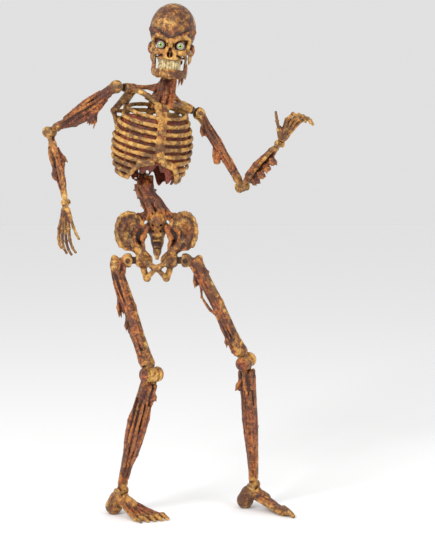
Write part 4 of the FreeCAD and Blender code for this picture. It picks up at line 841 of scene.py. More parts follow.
def chest_flesh():
    """The dark, torn lining that shows between the ribs."""
    clay = Clay((-150, -105, -165), (150, 105, 150), 2.4)
    outer = CHEST_SIZE - 7

    def egg(size):
        def shape(x, y, z):
            first = np.sqrt((x / size[0]) ** 2 + (y / size[1]) ** 2 + (z / size[2]) ** 2)
            second = np.sqrt((x / size[0] ** 2) ** 2 + (y / size[1] ** 2) ** 2 + (z / size[2] ** 2) ** 2) + 1e-9
            return first * (first - 1) / second
        return shape

    clay.put("flesh", egg(outer), -outer, outer, 0)
    roughen(clay, 1, 6.5)
    clay.carve(egg(outer - 9), -outer, outer, 1)
    x, y, z = clay.window((-200, -200, -300), (200, 200, 300))[1:]
    torn = (14 * np.sin(x / 13.0) + 9 * np.sin(x / 5.1 + 1) + 7 * np.sin(y / 9.0)) * np.ones_like(z)
    floor = -112 + torn + np.maximum(0, 60 - np.abs(x + 10)) * 0.9 * (y < 20)
    np.maximum(clay.flesh, (floor - z).astype(np.float32), out=clay.flesh)
    np.maximum(clay.flesh, (z - 100 + 0 * x + 0 * y).astype(np.float32), out=clay.flesh)
    for sign in SIDES.values():
        for index in range(6):
            line = rib_line(2 + index, sign, 165, 9)
            for step in range(2, 8, 2):
                lower = rib_line(3 + index, sign, 165, 9)[step]
                clay.bar(line[step] * 0.95, lower * 0.95, 4.5, 6, 4, "flesh")
    clay.carve_bar(middle_point(-58, 1) * vec(1, 0.99, 1), middle_point(0, 1), 20, 20, 2)
    clay.carve_bar(middle_point(0, 1), middle_point(60, 1), 20, 20, 2)
    piece = cast(clay, "chest_lining_sculpt", CHEST_PLACE)
    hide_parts("chest_lining")
    return piece, "torso"


# %% [markdown]
# The shoulder girdle hangs on the rib cage: a blade behind each shoulder, with a strong ridge
# up to the joint, and a collar bone that runs in a shallow S from the breastbone.

# %% Shoulder girdle
BLADE_WIDTH, BLADE_HEIGHT = 78, 118


def shoulder_inward(side):
    swing = AXIS[f"shoulder_swing_{side}"]
    return swing if swing[0] * SIDES[side] < 0 else -swing


def shoulder_girdle(side):
    sign = SIDES[side]
    shoulder = to_chest(JOINT[f"shoulder_swing_{side}"])
    inward = np.array(CHEST_TURN.transposed() @ Vector(shoulder_inward(side)))
    boss = shoulder + inward * 62
    notch = middle_point(48, -1)
    out, along = vec(0.55 * sign, 0.83, 0), vec(0.83 * sign, -0.55, 0)
    corner = vec(62 * sign, CHEST_SIZE[1] * 0.93 + 12.5, 104) + out * 12
    points = np.array([shoulder, boss, notch, corner, corner + along * BLADE_WIDTH,
                       corner - UP * BLADE_HEIGHT])
    clay = Clay(points.min(axis=0) - 34, points.max(axis=0) + 34, 2.2)
    tip, wing = corner - UP * BLADE_HEIGHT, corner + along * BLADE_WIDTH
    for share in np.linspace(0, 1, 7):
        clay.bar(corner + (tip - corner) * share * 0.96, wing + (tip - wing) * share, 4.5, 4.5, 9)
    clay.path([corner, tip], [6, 6], 4)
    clay.path([wing, (wing + tip) / 2 + along * 3, tip], [8, 7, 6], 4)
    clay.path([corner, (corner + wing) / 2 + UP * 3, wing], [6, 6, 8], 4)
    ridge = corner + along * BLADE_WIDTH * 0.12 - UP * 22 + out * 6
    clay.path([ridge, (ridge + boss) / 2 + out * 12 + UP * 4, boss + inward * 2], [5, 9, 14], 6)
    clay.bar(boss, wing, 15, 10, 8)
    clay.bar(boss + inward * 4, shoulder + inward * 36.5, 16, 17, 4)
    middle = (boss + notch) / 2 + vec(-4 * sign, -13, 4)
    reach = unit(boss - notch)
    clay.path([notch + reach * 14 + vec(0, -3, 2), middle, boss - vec(0, 8, 0)], [9.5, 7, 10], 5)
    clay.path([wing, (wing + tip) / 2, tip * 0.5 + wing * 0.5 + out * 6], [7, 9, 5], 6, "flesh")
    clay.path([notch + reach * 30 + vec(0, 2, 6), middle + vec(0, 16, 8), boss + vec(0, 6, 8)], [4, 5, 6],
              5, "flesh")
    roughen(clay, 1.0, 3.0)
    clay.carve_ball(shoulder, 33, None, 1)
    for tilt in (-25, 0, 25):
        lifted = np.array(CHEST_TURN.transposed() @ Vector(AXIS[f"shoulder_lift_{side}"]))
        clay.carve_ball(shoulder + turned(-inward, lifted, tilt) * 6, 34, None, 1)
    piece = cast(clay, f"shoulder_girdle_{side}_sculpt", CHEST_PLACE, [(shoulder, 70)])
    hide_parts(f"collar_bone_{side}", f"shoulder_blade_{side}")
    return piece, "torso"


# %% [markdown]
# Between the chest and the pelvis only the lumbar spine is left, wrapped in dried flesh that
# spreads to both sides at its foot. The neck is the same idea, with cords that fan out to the
# collar bones. Its top stays under the swivel that the head turns on.

# %% Waist and neck
HEAD_BASE = JOINT["head_turn"]
HEAD_TURN = Matrix.Rotation(math.radians(5), 3, "Y")
HEAD_PLACE = Matrix.Translation(Vector(HEAD_BASE) * MM) @ HEAD_TURN.to_4x4()


def chest_to_figure(point):
    return CHEST_BASE + np.array(CHEST_TURN @ Vector(point))


def waist():
    low, high = HIPS + vec(0, 40, 146), chest_to_figure(middle_point(-58, 1))
    clay = limb_clay([low, high, HIPS + vec(-90, 0, 150), HIPS + vec(90, 0, 150)], 2.4, 45)
    way = unit(high - low)
    count = 4
    for step in range(count):
        spot = low + (high - low) * (0.12 + 0.76 * step / (count - 1))
        clay.ball(spot, (24, 20, 11), None, 4)
        clay.path([spot + vec(0, 12, 0), spot + vec(0, 34, -6)], [8, 5], 4)
        for sign in SIDES.values():
            clay.path([spot, spot + vec(38 * sign, 10, 3)], [8, 4], 4)
    clay.path([low - way * 6, high], [15, 15], 5)
    muscle(clay, low - way * 4, high + way * 16, [34, 27, 26, 32], 10, 91, 7, None, 0.5)
    for sign in SIDES.values():
        clay.path([high + vec(22 * sign, -4, 0), low + vec(36 * sign, -6, 28),
                   low + vec(62 * sign, -14, 2)], [9, 7, 5], 6, "flesh")
        clay.path([high + vec(12 * sign, -18, 10), low + vec(20 * sign, -24, 30),
                   low + vec(34 * sign, -20, -4)], [8, 7, 5], 6, "flesh")
    root = chest_to_figure(middle_point(-42, 1) * vec(1, 0.72, 1))
    clay.path([low + way * 40, high + vec(10, -10, 6), root], [20, 25, 20], 8, "flesh")
    clay.path([high + vec(24, -6, -4), root + vec(26, -12, 6)], [12, 9], 6, "flesh")
    roughen(clay, 1.2, 4.2, way)
    piece = cast(clay, "waist_sculpt")
    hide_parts("lumbar_spine", "waist_flesh")
    return piece, "torso"


def neck():
    up = np.array(HEAD_TURN @ Vector((0, 0, 1)))
    low, high = chest_to_figure(middle_point(60, 1)), HEAD_BASE - up * 44
    notch = chest_to_figure(middle_point(48, -1))
    ends = {side: JOINT[f"shoulder_swing_{side}"] + shoulder_inward(side) * 74 for side in SIDES}
    clay = limb_clay([low, high, notch, *ends.values()], 2.2, 40)
    bow = (low + high) / 2 + vec(-6, -10, 0)
    clay.path([low, bow, high], [17, 16, 17], 6)
    for share in (0.2, 0.5, 0.8):
        spot = low + (high - low) * share + vec(-4, -6, 0)
        clay.ball(spot, (22, 19, 9), None, 4)
    rng = np.random.default_rng(17)
    for index in range(9):
        turn = -2.7 + index * 0.68
        start = high + vec(math.sin(turn) * 23, -math.cos(turn) * 21, rng.uniform(-4, 4))
        foot_spot = notch + vec(math.sin(turn) * 34, 12 - math.cos(turn) * 4, 4)
        clay.path([start, (start + foot_spot) / 2 + vec(0, 8, 0), foot_spot], [7.5, 5.5, 6], 4, "flesh")
    clay.path([high + vec(0, -14, -4), notch * 0.5 + high * 0.5, notch + vec(0, 10, 6)], [12, 10, 9], 6,
              "flesh")
    for side, end in ends.items():
        sign = SIDES[side]
        shoulder_top = end + vec(0, 10, 8)
        for lift in (0, 1):
            middle = (high + shoulder_top) / 2 + vec(-8 * sign, 6, -22 + 12 * lift)
            clay.path([high + vec(16 * sign, 8, -2 - 10 * lift), middle, shoulder_top], [9, 7, 5], 7,
                      "flesh")
    roughen(clay, 1.0, 3.2, up)
    for _ in range(3):  # each pass rounds the edge of the cut a little more
        clay.carve_ball(HEAD_BASE + vec(0, 0, 2), (46, 46, 34), None, 1)
    clay.carve_bar(HEAD_BASE - up * 26, HEAD_BASE, 16, 16, 1)
    piece = cast(clay, "neck_sculpt", None, [(HEAD_BASE, 60)])
    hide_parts("neck_column")
    return piece, "torso"


# %% [markdown]
# The skull is modelled in its own frame, with the jaw hinge and the tooth line where the
# joints put them: an egg for the brain case, then brow, cheek arches and the upper jaw, then
# the two sockets, the nose and the hollows of the temples and cheeks are taken away.

# %% Skull
JAW_HINGE = np.array(HEAD_TURN.transposed() @ Vector(JOINT["jaw_open"] - HEAD_BASE))
EYE_SPOT = vec(33, -89, 66)
ARCH_CENTER, ARCH_SIZE, TOOTH_LINE, TOOTH_LENGTH = -64, (36, 33), 3.0, 16.0


def arch_line(level, grow, first=196, last=344, count=13):
    """The horseshoe that both rows of teeth stand on."""
    points = []
    for angle in np.radians(np.linspace(first, last, count)):
        points.append(vec((ARCH_SIZE[0] + grow) * math.cos(angle),
                          ARCH_CENTER + (ARCH_SIZE[1] + grow) * math.sin(angle), level))
    return points


def skull():
    clay = Clay((-98, -126, -48), (98, 112, 226), 1.7)
    clay.ball(vec(0, -6, 126), (79, 97, 89), None, 1)
    clay.ball(vec(0, -22, 92), (66, 78, 60), None, 12)
    clay.ball(vec(0, 34, 78), (52, 52, 46), None, 14)
    for sign in SIDES.values():
        clay.path([both((62, -66, 92), sign), both((46, -90, 97), sign), both((28, -100, 91), sign),
                   both((11, -104, 80), sign)], [5, 7, 7.5, 7.5], 9)
        clay.path([both((20, -98, 44), sign), both((40, -92, 42), sign), both((58, -72, 48), sign),
                   both((66, -40, 52), sign), both((67, -6, 50), sign)], [9, 10.5, 9.5, 6, 7], 6)
        clay.path([both((61, -70, 88), sign), both((59, -74, 66), sign), both((56, -76, 48), sign)],
                  [7, 6, 8], 5)
        clay.path([both((10, -100, 56), sign), both((15, -99, 40), sign), both((16, -100, 24), sign)],
                  [6, 6, 8], 5)
        clay.ball(both((60, 12, 34), sign), (12, 18, 24), None, 8)
        clay.carve_ball(both((33, -100, 67), sign), (18.5, 30, 14.5), None, 5)
        clay.carve_ball(both(EYE_SPOT, sign), 16.4, None, 1)
        clay.carve_ball(both((86, -44, 84), sign), (15, 40, 32), None, 8)
        clay.carve_ball(both((46, -84, 14), sign), (13, 26, 17), None, 6)
        clay.ball(both((72, -4, 60), sign), (9, 16, 20), None, 5, "flesh")
        clay.path([both((66, -46, 100), sign), both((72, -30, 120), sign), both((70, -16, 140), sign)],
                  [7, 8, 5], 6, "flesh")
        clay.path([both((40, -94, 104), sign), both((56, -78, 112), sign), both((66, -58, 124), sign)],
                  [4, 5.5, 4], 5, "flesh")
        clay.path([both((48, -84, 38), sign), both((52, -74, 24), sign), both((54, -66, 14), sign)],
                  [5, 4, 2], 4, "flesh")
    clay.ball(vec(0, -76, 26), (30, 30, 26), None, 8)
    clay.path([vec(0, -104, 82), vec(0, -108, 66), vec(0, -110, 56)], [9, 7, 5], 5)
    clay.path(arch_line(22, 1), [8] * 13, 5)
    for spot in arch_line(19, 3, 200, 340, 10):
        clay.bar(spot, spot + vec(0, 4, 17), 4.6, 2.4, 3)
    clay.carve_ball(vec(0, -108, 36), (10.5, 20, 13), None, 2.5)
    clay.carve_ball(vec(0, -110, 49), (5, 16, 10), None, 3)
    clay.bar(vec(0, -98, 24), vec(0, -90, 48), 2.2, 2.2, 1.5)
    clay.bar(vec(0, 0, 6), vec(0, -6, 62), 22, 30, 8)
    clay.ball(vec(0, 0, 0), 21, None, 2)
    clay.ball(vec(0, -16, 16), (42, 14, 22), None, 6, "flesh")
    roughen(clay, 0.9, 2.6)
    plates = lambda x, y, z: np.maximum(np.abs(np.abs(x) - 53.4) - 6.4 + 0 * y + 0 * z,
                                        np.sqrt((y - JAW_HINGE[1]) ** 2 + (z - JAW_HINGE[2]) ** 2) - 66)
    clay.carve(plates, (-62, -90, -48), (62, 60, 100), 1)
    for tilt in (-15, 0, 15):
        clay.carve_bar(vec(0, 0, 0), vec(0, 60 * math.sin(math.radians(tilt)),
                                         -60 * math.cos(math.radians(tilt))), 14, 17, 1)
    clay.carve_ball(vec(0, 0, 0), 13.5, None, 1)
    clay.carve(lambda x, y, z: np.maximum(z - (TOOTH_LINE + TOOTH_LENGTH - 1) + 0 * x, y + 26 + 0 * x),
               (-70, -126, -48), (70, -20, 30), 1)
    piece = cast(clay, "skull_sculpt", HEAD_PLACE, [(vec(0, -60, 60), 96), (vec(0, 0, 0), 70)])
    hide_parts("skull")
    return piece, "head"


def lower_jaw():
    clay = Clay((-74, -122, -78), (74, 22, 96), 1.6)
    gum = TOOTH_LINE - TOOTH_LENGTH - 2
    clay.path(arch_line(gum - 7, 1), [7.5] * 13, 5)
    chin = [vec(-51, -30, -10), vec(-49, -52, -26), vec(-36, -80, -32), vec(-14, -97, -33),
            vec(0, -99, -33)]
    chin += [point * vec(-1, 1, 1) for point in chin[-2::-1]]
    clay.path(chin, [9, 10, 11, 11, 11, 11, 11, 10, 9], 6)
    clay.path([point + vec(0, 2, 8) for point in chin], [7, 9, 9, 9, 9, 9, 9, 9, 7], 6)
    clay.ball(vec(0, -104, -38), (17, 8, 9), None, 6)
    for sign in SIDES.values():
        clay.ball(both((52.6, -20, 8), sign), (4.2, 17, 44), None, 2)
        clay.ball(both((52.6, -36, 14), sign), (3.8, 12, 40), None, 3)
        clay.path([both((54, -34, 6), sign), both((52, -50, -8), sign), both((45, -66, -16), sign)],
                  [7, 8, 7], 5, "flesh")
        clay.path([both((55, -22, -2), sign), both((54, -38, -18), sign), both((48, -58, -30), sign)],
                  [6, 8, 8], 5, "flesh")
    clay.path([vec(47, -58, -34), vec(48, -62, -48), vec(46, -66, -64)], [6, 4, 1.2], 3, "flesh")
    clay.path([vec(40, -72, -38), vec(39, -76, -52), vec(36, -78, -70)], [6, 3.6, 1.2], 3, "flesh")
    clay.path([vec(54, -40, -16), vec(58, -44, -30), vec(57, -48, -44)], [5, 3.4, 1.2], 3, "flesh")
    for spot in arch_line(gum - 1, 3, 200, 340, 10):
        clay.bar(spot, spot + vec(0, 4, -13), 4.4, 2.4, 3)
    roughen(clay, 0.7, 2.0)
    clay.carve(lambda x, y, z: np.maximum(np.abs(x) - 48.5 + 0 * y + 0 * z, gum + 1 - z + 0 * x),
               (-60, -122, gum - 4), (60, 22, 96), 0.5)
    clay.carve(lambda x, y, z: np.maximum(np.maximum(np.abs(x) - 48.5, -28 - y), 0 * z - 1) ,
               (-60, -30, -78), (60, 22, 96), 0.5)
    piece = cast(clay, "jaw_sculpt", HEAD_PLACE, [(vec(0, -50, 10), 74)])
    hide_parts("jaw")
    return piece, "lower_jaw"


# %% Small helpers for node trees
def linear(code):
    """A colour written as on a paint chart, turned into the renderer's linear values."""
    parts = [int(code[i:i + 2], 16) / 255 for i in (1, 3, 5)]
    return tuple(c / 12.92 if c <= 0.04045 else ((c + 0.055) / 1.055) ** 2.4 for c in parts) + (1.0,)


def add_node(tree, kind, inputs=None, **settings):
    """A new node; inputs are other nodes' sockets or constant values, by name or number."""
    node = tree.nodes.new(kind)
    for key, value in settings.items():
        setattr(node, key, value)
    for key, value in (inputs or {}).items():
        if isinstance(value, bpy.types.NodeSocket):
            tree.links.new(value, node.inputs[key])
        else:
            node.inputs[key].default_value = value
    return node


def ramp_node(tree, factor, stops):
    """A colour ramp with stops of (position, colour code)."""
    node = add_node(tree, "ShaderNodeValToRGB", {"Fac": factor})
    ramp = node.color_ramp
    while len(ramp.elements) < len(stops):
        ramp.elements.new(0.5)
    for element, (position, code) in zip(ramp.elements, stops):
        element.position = position
        element.color = linear(code)
    return node


# %% [markdown]
# The figure is painted in layers, and so are the materials. Moulded bone is ochre, darker
# where it is worn. The flesh is burnt orange over red-brown. Which paint goes where comes
# from the sculpt: how much flesh a point has, and whether it sits on a ridge or in a hollow.
# Hollows get painted shade, near black in the furrows, and ridges a paler painted highlight.

# %% Paints
def mix_color(tree, factor, first, second, blend="MIX"):
    node = add_node(tree, "ShaderNodeMix", data_type="RGBA", blend_type=blend)
    for key, value in ((0, factor), (6, first), (7, second)):
        if isinstance(value, bpy.types.NodeSocket):
            tree.links.new(value, node.inputs[key])
        else:
            node.inputs[key].default_value = value
    return node.outputs[2]


def spread(tree, value, low, high):
    """Value mapped so that low becomes 0 and high becomes 1, held in between."""
    node = add_node(tree, "ShaderNodeMapRange", {"Value": value, "From Min": low, "From Max": high})
    return node.outputs["Result"]


def noise(tree, where, size_mm, detail=4.0, rough=0.6, warp=0.0):
    node = add_node(tree, "ShaderNodeTexNoise", {"Vector": where, "Detail": detail, "Roughness": rough,
                                                 "Distortion": warp})
    node.inputs["Scale"].default_value = 1000.0 / size_mm
    return node.outputs["Fac"]


def painted(name, bone_stops, flesh_stops, furrow_shade, roughness=0.36, bump_mm=1.3, stain_code="#3A190C"):
    """Stained latex: bone and flesh paints by the sculpt's attributes, with painted shade in the furrows and a
    painted highlight on the ridges.
    """
    material = bpy.data.materials.new(name)
    material.use_nodes = True
    tree = material.node_tree
    tree.nodes.clear()
    where = add_node(tree, "ShaderNodeTexCoord").outputs["Object"]
    flesh = add_node(tree, "ShaderNodeAttribute", attribute_name="flesh").outputs["Fac"]
    ridge = add_node(tree, "ShaderNodeAttribute", attribute_name="ridge").outputs["Fac"]
    broad = noise(tree, where, 55, 3)
    medium = noise(tree, where, 16, 5, 0.65, 0.6)
    fine = noise(tree, where, 4, 4, 0.7)
    bone_tone = add_node(tree, "ShaderNodeMath", {0: medium, 1: broad}, operation="ADD").outputs[0]
    bone = ramp_node(tree, spread(tree, bone_tone, 0.72, 1.28), bone_stops).outputs["Color"]
    flesh_tone = add_node(tree, "ShaderNodeMath", {0: fine, 1: bone_tone}, operation="ADD").outputs[0]
    skin = ramp_node(tree, spread(tree, flesh_tone, 1.15, 1.85), flesh_stops).outputs["Color"]
    edge = add_node(tree, "ShaderNodeMath", {0: flesh, 1: medium}, operation="ADD").outputs[0]
    base = mix_color(tree, spread(tree, edge, 0.86, 1.08), bone, skin)
    # Painted shade: where the sculpt sinks in, the colour runs towards the near-black furrow shade.
    depth = add_node(tree, "ShaderNodeMath", {0: ridge, 1: fine}, operation="ADD").outputs[0]
    hollow = spread(tree, depth, 0.60, 0.34)
    base = mix_color(tree, hollow, base, linear(furrow_shade))
    # Painted highlight: where the sculpt stands out, the colour is lifted towards the palest bone or flesh paint.
    lift = add_node(tree, "ShaderNodeMath", {0: spread(tree, depth, 0.66, 0.9), 1: 0.45},
                    operation="MULTIPLY").outputs[0]
    ridge_highlight = mix_color(tree, flesh, linear(bone_stops[-1][1]), linear(flesh_stops[-1][1]))
    base = mix_color(tree, lift, base, ridge_highlight)
    stain_tone = add_node(tree, "ShaderNodeMath", {0: noise(tree, where, 90, 4, 0.6, 0.8), 1: medium},
                          operation="ADD").outputs[0]
    stain = add_node(tree, "ShaderNodeMath", {0: spread(tree, stain_tone, 1.10, 0.90), 1: 0.72},
                     operation="MULTIPLY").outputs[0]
    base = mix_color(tree, stain, base, linear(stain_code))
    bump = add_node(tree, "ShaderNodeBump", {"Height": flesh_tone})
    bump.inputs["Strength"].default_value = 1.0
    bump.inputs["Distance"].default_value = bump_mm * 2 * MM
    shader = add_node(tree, "ShaderNodeBsdfPrincipled", {"Base Color": base,
            "Normal": bump.outputs["Normal"]})
    shader.inputs["Roughness"].default_value = roughness
    add_node(tree, "ShaderNodeOutputMaterial", {"Surface": shader.outputs["BSDF"]})
    return material


def plain_paint(name, light, dark, roughness, spot_mm, metallic=0.0):
    """A single paint that wears between two tones."""
    material = bpy.data.materials.new(name)
    material.use_nodes = True
    tree = material.node_tree
    tree.nodes.clear()
    where = add_node(tree, "ShaderNodeTexCoord").outputs["Object"]
    tone = spread(tree, noise(tree, where, spot_mm, 4), 0.38, 0.62)
    base = mix_color(tree, tone, linear(light), linear(dark))
    shader = add_node(tree, "ShaderNodeBsdfPrincipled", {"Base Color": base})
    shader.inputs["Roughness"].default_value = roughness
    shader.inputs["Metallic"].default_value = metallic
    add_node(tree, "ShaderNodeOutputMaterial", {"Surface": shader.outputs["BSDF"]})
    return material


BONE_STOPS = [(0.0, "#4E220E"), (0.30, "#8A4A18"), (0.62, "#BE8030"), (1.0, "#DDB060")]
FLESH_STOPS = [(0.0, "#260C07"), (0.34, "#64220F"), (0.62, "#94441A"), (0.82, "#B8692A"), (1.0, "#C8873A")]
INNER_STOPS = [(0.0, "#1E0806"), (0.4, "#4E160C"), (0.75, "#7A2A14"), (1.0, "#9C4520")]
# The fourth value of each painted finish is the near-black colour of its painted shade in the furrows.
finishes = {
    # latex-coated moulded plastic, bone paint with flesh paint over it
    "painted_bone": painted("stained moulded bone", BONE_STOPS, FLESH_STOPS, "#24100A"),
    # the same latex where it forms the torn muscle
    "torn_flesh": painted("torn latex flesh", BONE_STOPS, FLESH_STOPS, "#200A06"),
    # the dark red lining inside the chest
    "dark_flesh": painted("dried inner flesh", INNER_STOPS, INNER_STOPS, "#120504", 0.34, 1.4),
    # steel pins, painted over with the rest
    "pin_steel": plain_paint("painted steel", "#6A4426", "#2C170D", 0.42, 9, 0.3),
    # ivory tooth plastic, browner at random
    "tooth": plain_paint("stained tooth plastic", "#D2C08E", "#86663A", 0.3, 11),
    # nylon swivels inside the joints, stained dark
    "swivel_plastic": plain_paint("dark structural plastic", "#5A3418", "#2A150A", 0.5, 20),
}
print("paints", list(finishes))
# %% [markdown]
# The teeth are long and clenched, ten above and ten below. Each is a flattened peg with a
# rounded edge, like a small pillow block. They are one shape set along the horseshoe of the
# gums by Geometry Nodes, each turned to face outwards, and then fixed as a plain mesh.

# %% One row of teeth, set along the gum line by Geometry Nodes
TEETH_A_ROW = 10


def tooth_row_tree(material):
    tree = bpy.data.node_groups.new("row of teeth", "GeometryNodeTree")
    tree.interface.new_socket("Geometry", in_out="INPUT", socket_type="NodeSocketGeometry")
    for label, kind in (("Count", "NodeSocketInt"), ("Size", "NodeSocketVector"),
                        ("Seed", "NodeSocketInt")):
        tree.interface.new_socket(label, in_out="INPUT", socket_type=kind)
    tree.interface.new_socket("Geometry", in_out="OUTPUT", socket_type="NodeSocketGeometry")
    given = tree.nodes.new("NodeGroupInput").outputs
    curve = add_node(tree, "GeometryNodeMeshToCurve", {"Mesh": given["Geometry"]})
    spots = add_node(tree, "GeometryNodeResampleCurve", {"Curve": curve.outputs[0],
            "Count": given["Count"]})
    block = add_node(tree, "GeometryNodeMeshCube", {"Size": given["Size"]})
    peg = add_node(tree, "GeometryNodeSubdivisionSurface", {"Mesh": block.outputs["Mesh"], "Level": 4,
            "Edge Crease": 0.45})
    tangent = tree.nodes.new("GeometryNodeInputTangent").outputs[0]
    facing = add_node(tree, "FunctionNodeAlignRotationToVector", {"Vector": tangent}, axis="X",
                      pivot_axis="Z")
    lean = add_node(tree, "FunctionNodeRandomValue", {"Min": (-0.05, -0.06, -0.09),
                                                      "Max": (0.05, 0.06, 0.09), "Seed": given["Seed"]},
                    data_type="FLOAT_VECTOR")
    wobble = add_node(tree, "FunctionNodeEulerToRotation", {"Euler": lean.outputs[0]})
    turn = add_node(tree, "FunctionNodeRotateRotation", {"Rotation": facing.outputs[0],
            "Rotate By": wobble.outputs[0]},
                    rotation_space="LOCAL")
    grow = add_node(tree, "FunctionNodeRandomValue", {"Min": (0.92, 0.9, 0.94), "Max": (1.06, 1.05, 1.04),
                                                      "Seed": given["Seed"]},
                    data_type="FLOAT_VECTOR")
    row = add_node(tree, "GeometryNodeInstanceOnPoints", {"Points": spots.outputs[0],
            "Instance": peg.outputs[0],
                                                         "Rotation": turn.outputs[0], "Scale": grow.outputs[0]})
    real = add_node(tree, "GeometryNodeRealizeInstances", {"Geometry": row.outputs[0]})
    smooth = add_node(tree, "GeometryNodeSetShadeSmooth", {"Geometry": real.outputs[0]})
    done = add_node(tree, "GeometryNodeSetMaterial", {"Geometry": smooth.outputs[0], "Material": material})
    add_node(tree, "NodeGroupOutput", {"Geometry": done.outputs[0]})
    return tree


def baked(source, tree, values, name):
    """The evaluated result of a node tree as a plain object; the source is removed."""
    modifier = source.modifiers.new("nodes", "NODES")
    modifier.node_group = tree
    for item in tree.interface.items_tree:
        if item.in_out == "INPUT" and item.name in values:
            modifier[item.identifier] = values[item.name]
    evaluated = source.evaluated_get(bpy.context.evaluated_depsgraph_get())
    mesh = bpy.data.meshes.new_from_object(evaluated)
    mesh.name = name
    bpy.data.objects.remove(source)
    piece = bpy.data.objects.new(name, mesh)
    bpy.context.collection.objects.link(piece)
    return piece


def row_of_teeth(name, node, body, level, seed):
    """Pegs that reach from the clenched line into the gum."""
    line = arch_line(level, -1.5, 200, 340, 40)
    gum = bpy.data.meshes.new("gum line")
    gum.from_pydata([tuple(spot * MM) for spot in line], [(i, i + 1) for i in range(len(line) - 1)], [])
    source = bpy.data.objects.new("gum line", gum)
    bpy.context.collection.objects.link(source)
    size = tuple(value * MM for value in (9.2, 9.0, TOOTH_LENGTH + 5.5))
    row = baked(source, tooth_row_tree(finishes["tooth"]), {"Count": TEETH_A_ROW, "Size": size,
            "Seed": seed}, name)
    row.data.transform(HEAD_PLACE)
    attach(row, body)
    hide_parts(node)
    print(name, len(row.data.polygons), "faces")


row_of_teeth("upper_teeth_row", "upper_teeth", "head", TOOTH_LINE + TOOTH_LENGTH / 2 + 2, 3)
row_of_teeth("lower_teeth_row", "lower_teeth", "lower_jaw", TOOTH_LINE - TOOTH_LENGTH / 2 - 2, 8)


# %% [markdown]
# The eyes are glossy balls that stare straight ahead. Each has a black pupil, a green ring
# and a pale white that turns red-brown towards the edge of the ball, so every point of the ball carries its angle
# from the gaze.

# %% Eyes
EYE_RADIUS = 15.0


def gaze_paint():
    """Clear-coated moulded eyeball: the paint follows the angle from the gaze, in degrees."""
    material = bpy.data.materials.new("eyeball gloss")
    material.use_nodes = True
    tree = material.node_tree
    tree.nodes.clear()
    angle = add_node(tree, "ShaderNodeAttribute", attribute_name="gaze").outputs["Fac"]
    part = add_node(tree, "ShaderNodeMath", {0: angle, 1: 90.0}, operation="DIVIDE").outputs[0]
    rings = ramp_node(tree, part, [(0.0, "#050605"), (0.125, "#050605"), (0.145, "#4E8A2C"),
                                   (0.26, "#A8C43E"),
                                   (0.335, "#3E6A20"), (0.36, "#1E2A18"), (0.385, "#B6B2BC"), (0.62,
                                           "#8A6E68"),
                                   (1.0, "#5A2A1C")])
    shader = add_node(tree, "ShaderNodeBsdfPrincipled", {"Base Color": rings.outputs["Color"]})
    shader.inputs["Roughness"].default_value = 0.08
    shader.inputs["Coat Weight"].default_value = 0.6
    add_node(tree, "ShaderNodeOutputMaterial", {"Surface": shader.outputs["BSDF"]})
    return material


def eyes():
    shape = bmesh.new()
    gaze = unit(vec(0, -1, -0.06))
    angles = []
    for sign in SIDES.values():
        center = both(EYE_SPOT, sign)
        ball = bmesh.ops.create_icosphere(shape, subdivisions=5, radius=EYE_RADIUS)
        for point in ball["verts"]:
            way = unit(np.array(point.co))
            angles.append(math.degrees(math.acos(np.clip(way @ gaze, -1, 1))))
            point.co = Vector(center + way * EYE_RADIUS) * MM
    mesh = bpy.data.meshes.new("eyeballs")
    shape.to_mesh(mesh)
    shape.free()
    layer = mesh.attributes.new("gaze", "FLOAT", "POINT")
    layer.data.foreach_set("value", np.array(angles, dtype=np.float32))
    mesh.polygons.foreach_set("use_smooth", np.ones(len(mesh.polygons), dtype=bool))
    mesh.transform(HEAD_PLACE)
    piece = bpy.data.objects.new("eyeballs", mesh)
    bpy.context.collection.objects.link(piece)
    piece.data.materials.append(finishes["eyeball"])
    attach(piece, "head")
    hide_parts("eyes")
    print("eyeballs", len(mesh.polygons), "faces")


finishes["eyeball"] = gaze_paint()
eyes()

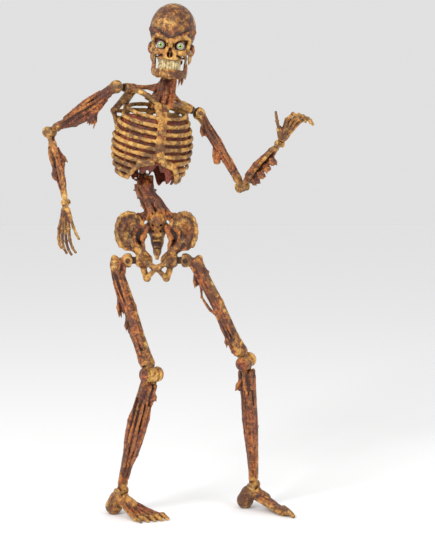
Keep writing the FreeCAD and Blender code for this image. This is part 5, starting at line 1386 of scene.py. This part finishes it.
# %% Sculpt every body piece and let it ride its own body
SLOT_OF = {"chest_lining_sculpt": "dark_flesh"}
pieces = [pelvis(), rib_cage(), chest_flesh(), waist(), neck(), skull(), lower_jaw()]
for side in SIDES:
    pieces += [shoulder_girdle(side), thigh(side), shin(side), foot(side), upper_arm(side), forearm(side),
               hand(side)]
for piece, body in pieces:
    slot = SLOT_OF.get(piece.name, "painted_bone")
    piece.data.materials.append(finishes[slot])
    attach(piece, body)
print(len(pieces), "sculpted pieces")

# %% Paint the pins, swivels and whatever else stays as it was built
for entry in frame["record"]["subparts"]:
    node = frame["nodes"].get(entry["node"])
    if node is None:
        continue
    node.data.materials.clear()
    finish = finishes.get(entry["material_slot"], finishes["tooth"])
    node.data.materials.append(finish)
print("painted", len(frame["nodes"]), "nodes")
# %% Floor, light and camera
bpy.ops.mesh.primitive_plane_add(size=30)
floor = bpy.context.object
floor.name = "floor"
pale = bpy.data.materials.new("pale floor")
pale.use_nodes = True
pale.node_tree.nodes["Principled BSDF"].inputs["Base Color"].default_value = linear("#FFFFFF")
pale.node_tree.nodes["Principled BSDF"].inputs["Roughness"].default_value = 1.0
floor.data.materials.append(pale)

world = bpy.data.worlds.new("studio")
bpy.context.scene.world = world
world.use_nodes = True
world.node_tree.nodes["Background"].inputs["Color"].default_value = (1, 1, 1, 1)
world.node_tree.nodes["Background"].inputs["Strength"].default_value = 0.75


def area_lamp(name, spot, target, size, power):
    data = bpy.data.lights.new(name, "AREA")
    data.size = size
    data.energy = power
    lamp = bpy.data.objects.new(name, data)
    lamp.location = spot
    lamp.rotation_euler = (Vector(target) - Vector(spot)).to_track_quat("-Z", "Y").to_euler()
    bpy.context.collection.objects.link(lamp)


area_lamp("key light", (-2.2, -3.2, 3.6), (0, 0, 1), 1.6, 130)
area_lamp("fill light", (3.0, -2.6, 2.0), (0, 0, 1), 2.0, 40)

camera_data = bpy.data.cameras.new("camera")
camera_data.lens = 86
camera_data.sensor_fit = "VERTICAL"
camera_data.sensor_height = 36
camera = bpy.data.objects.new("camera", camera_data)
bpy.context.collection.objects.link(camera)
CAMERA_SPOT = Vector((0.147, -4.391, 1.35))
CAMERA_AIM = Vector((0.147, 0.109, 0.884))
camera.location = CAMERA_SPOT
camera.rotation_euler = (CAMERA_AIM - CAMERA_SPOT).to_track_quat("-Z", "Y").to_euler()
bpy.context.scene.camera = camera
bpy.context.scene.view_settings.view_transform = "Standard"
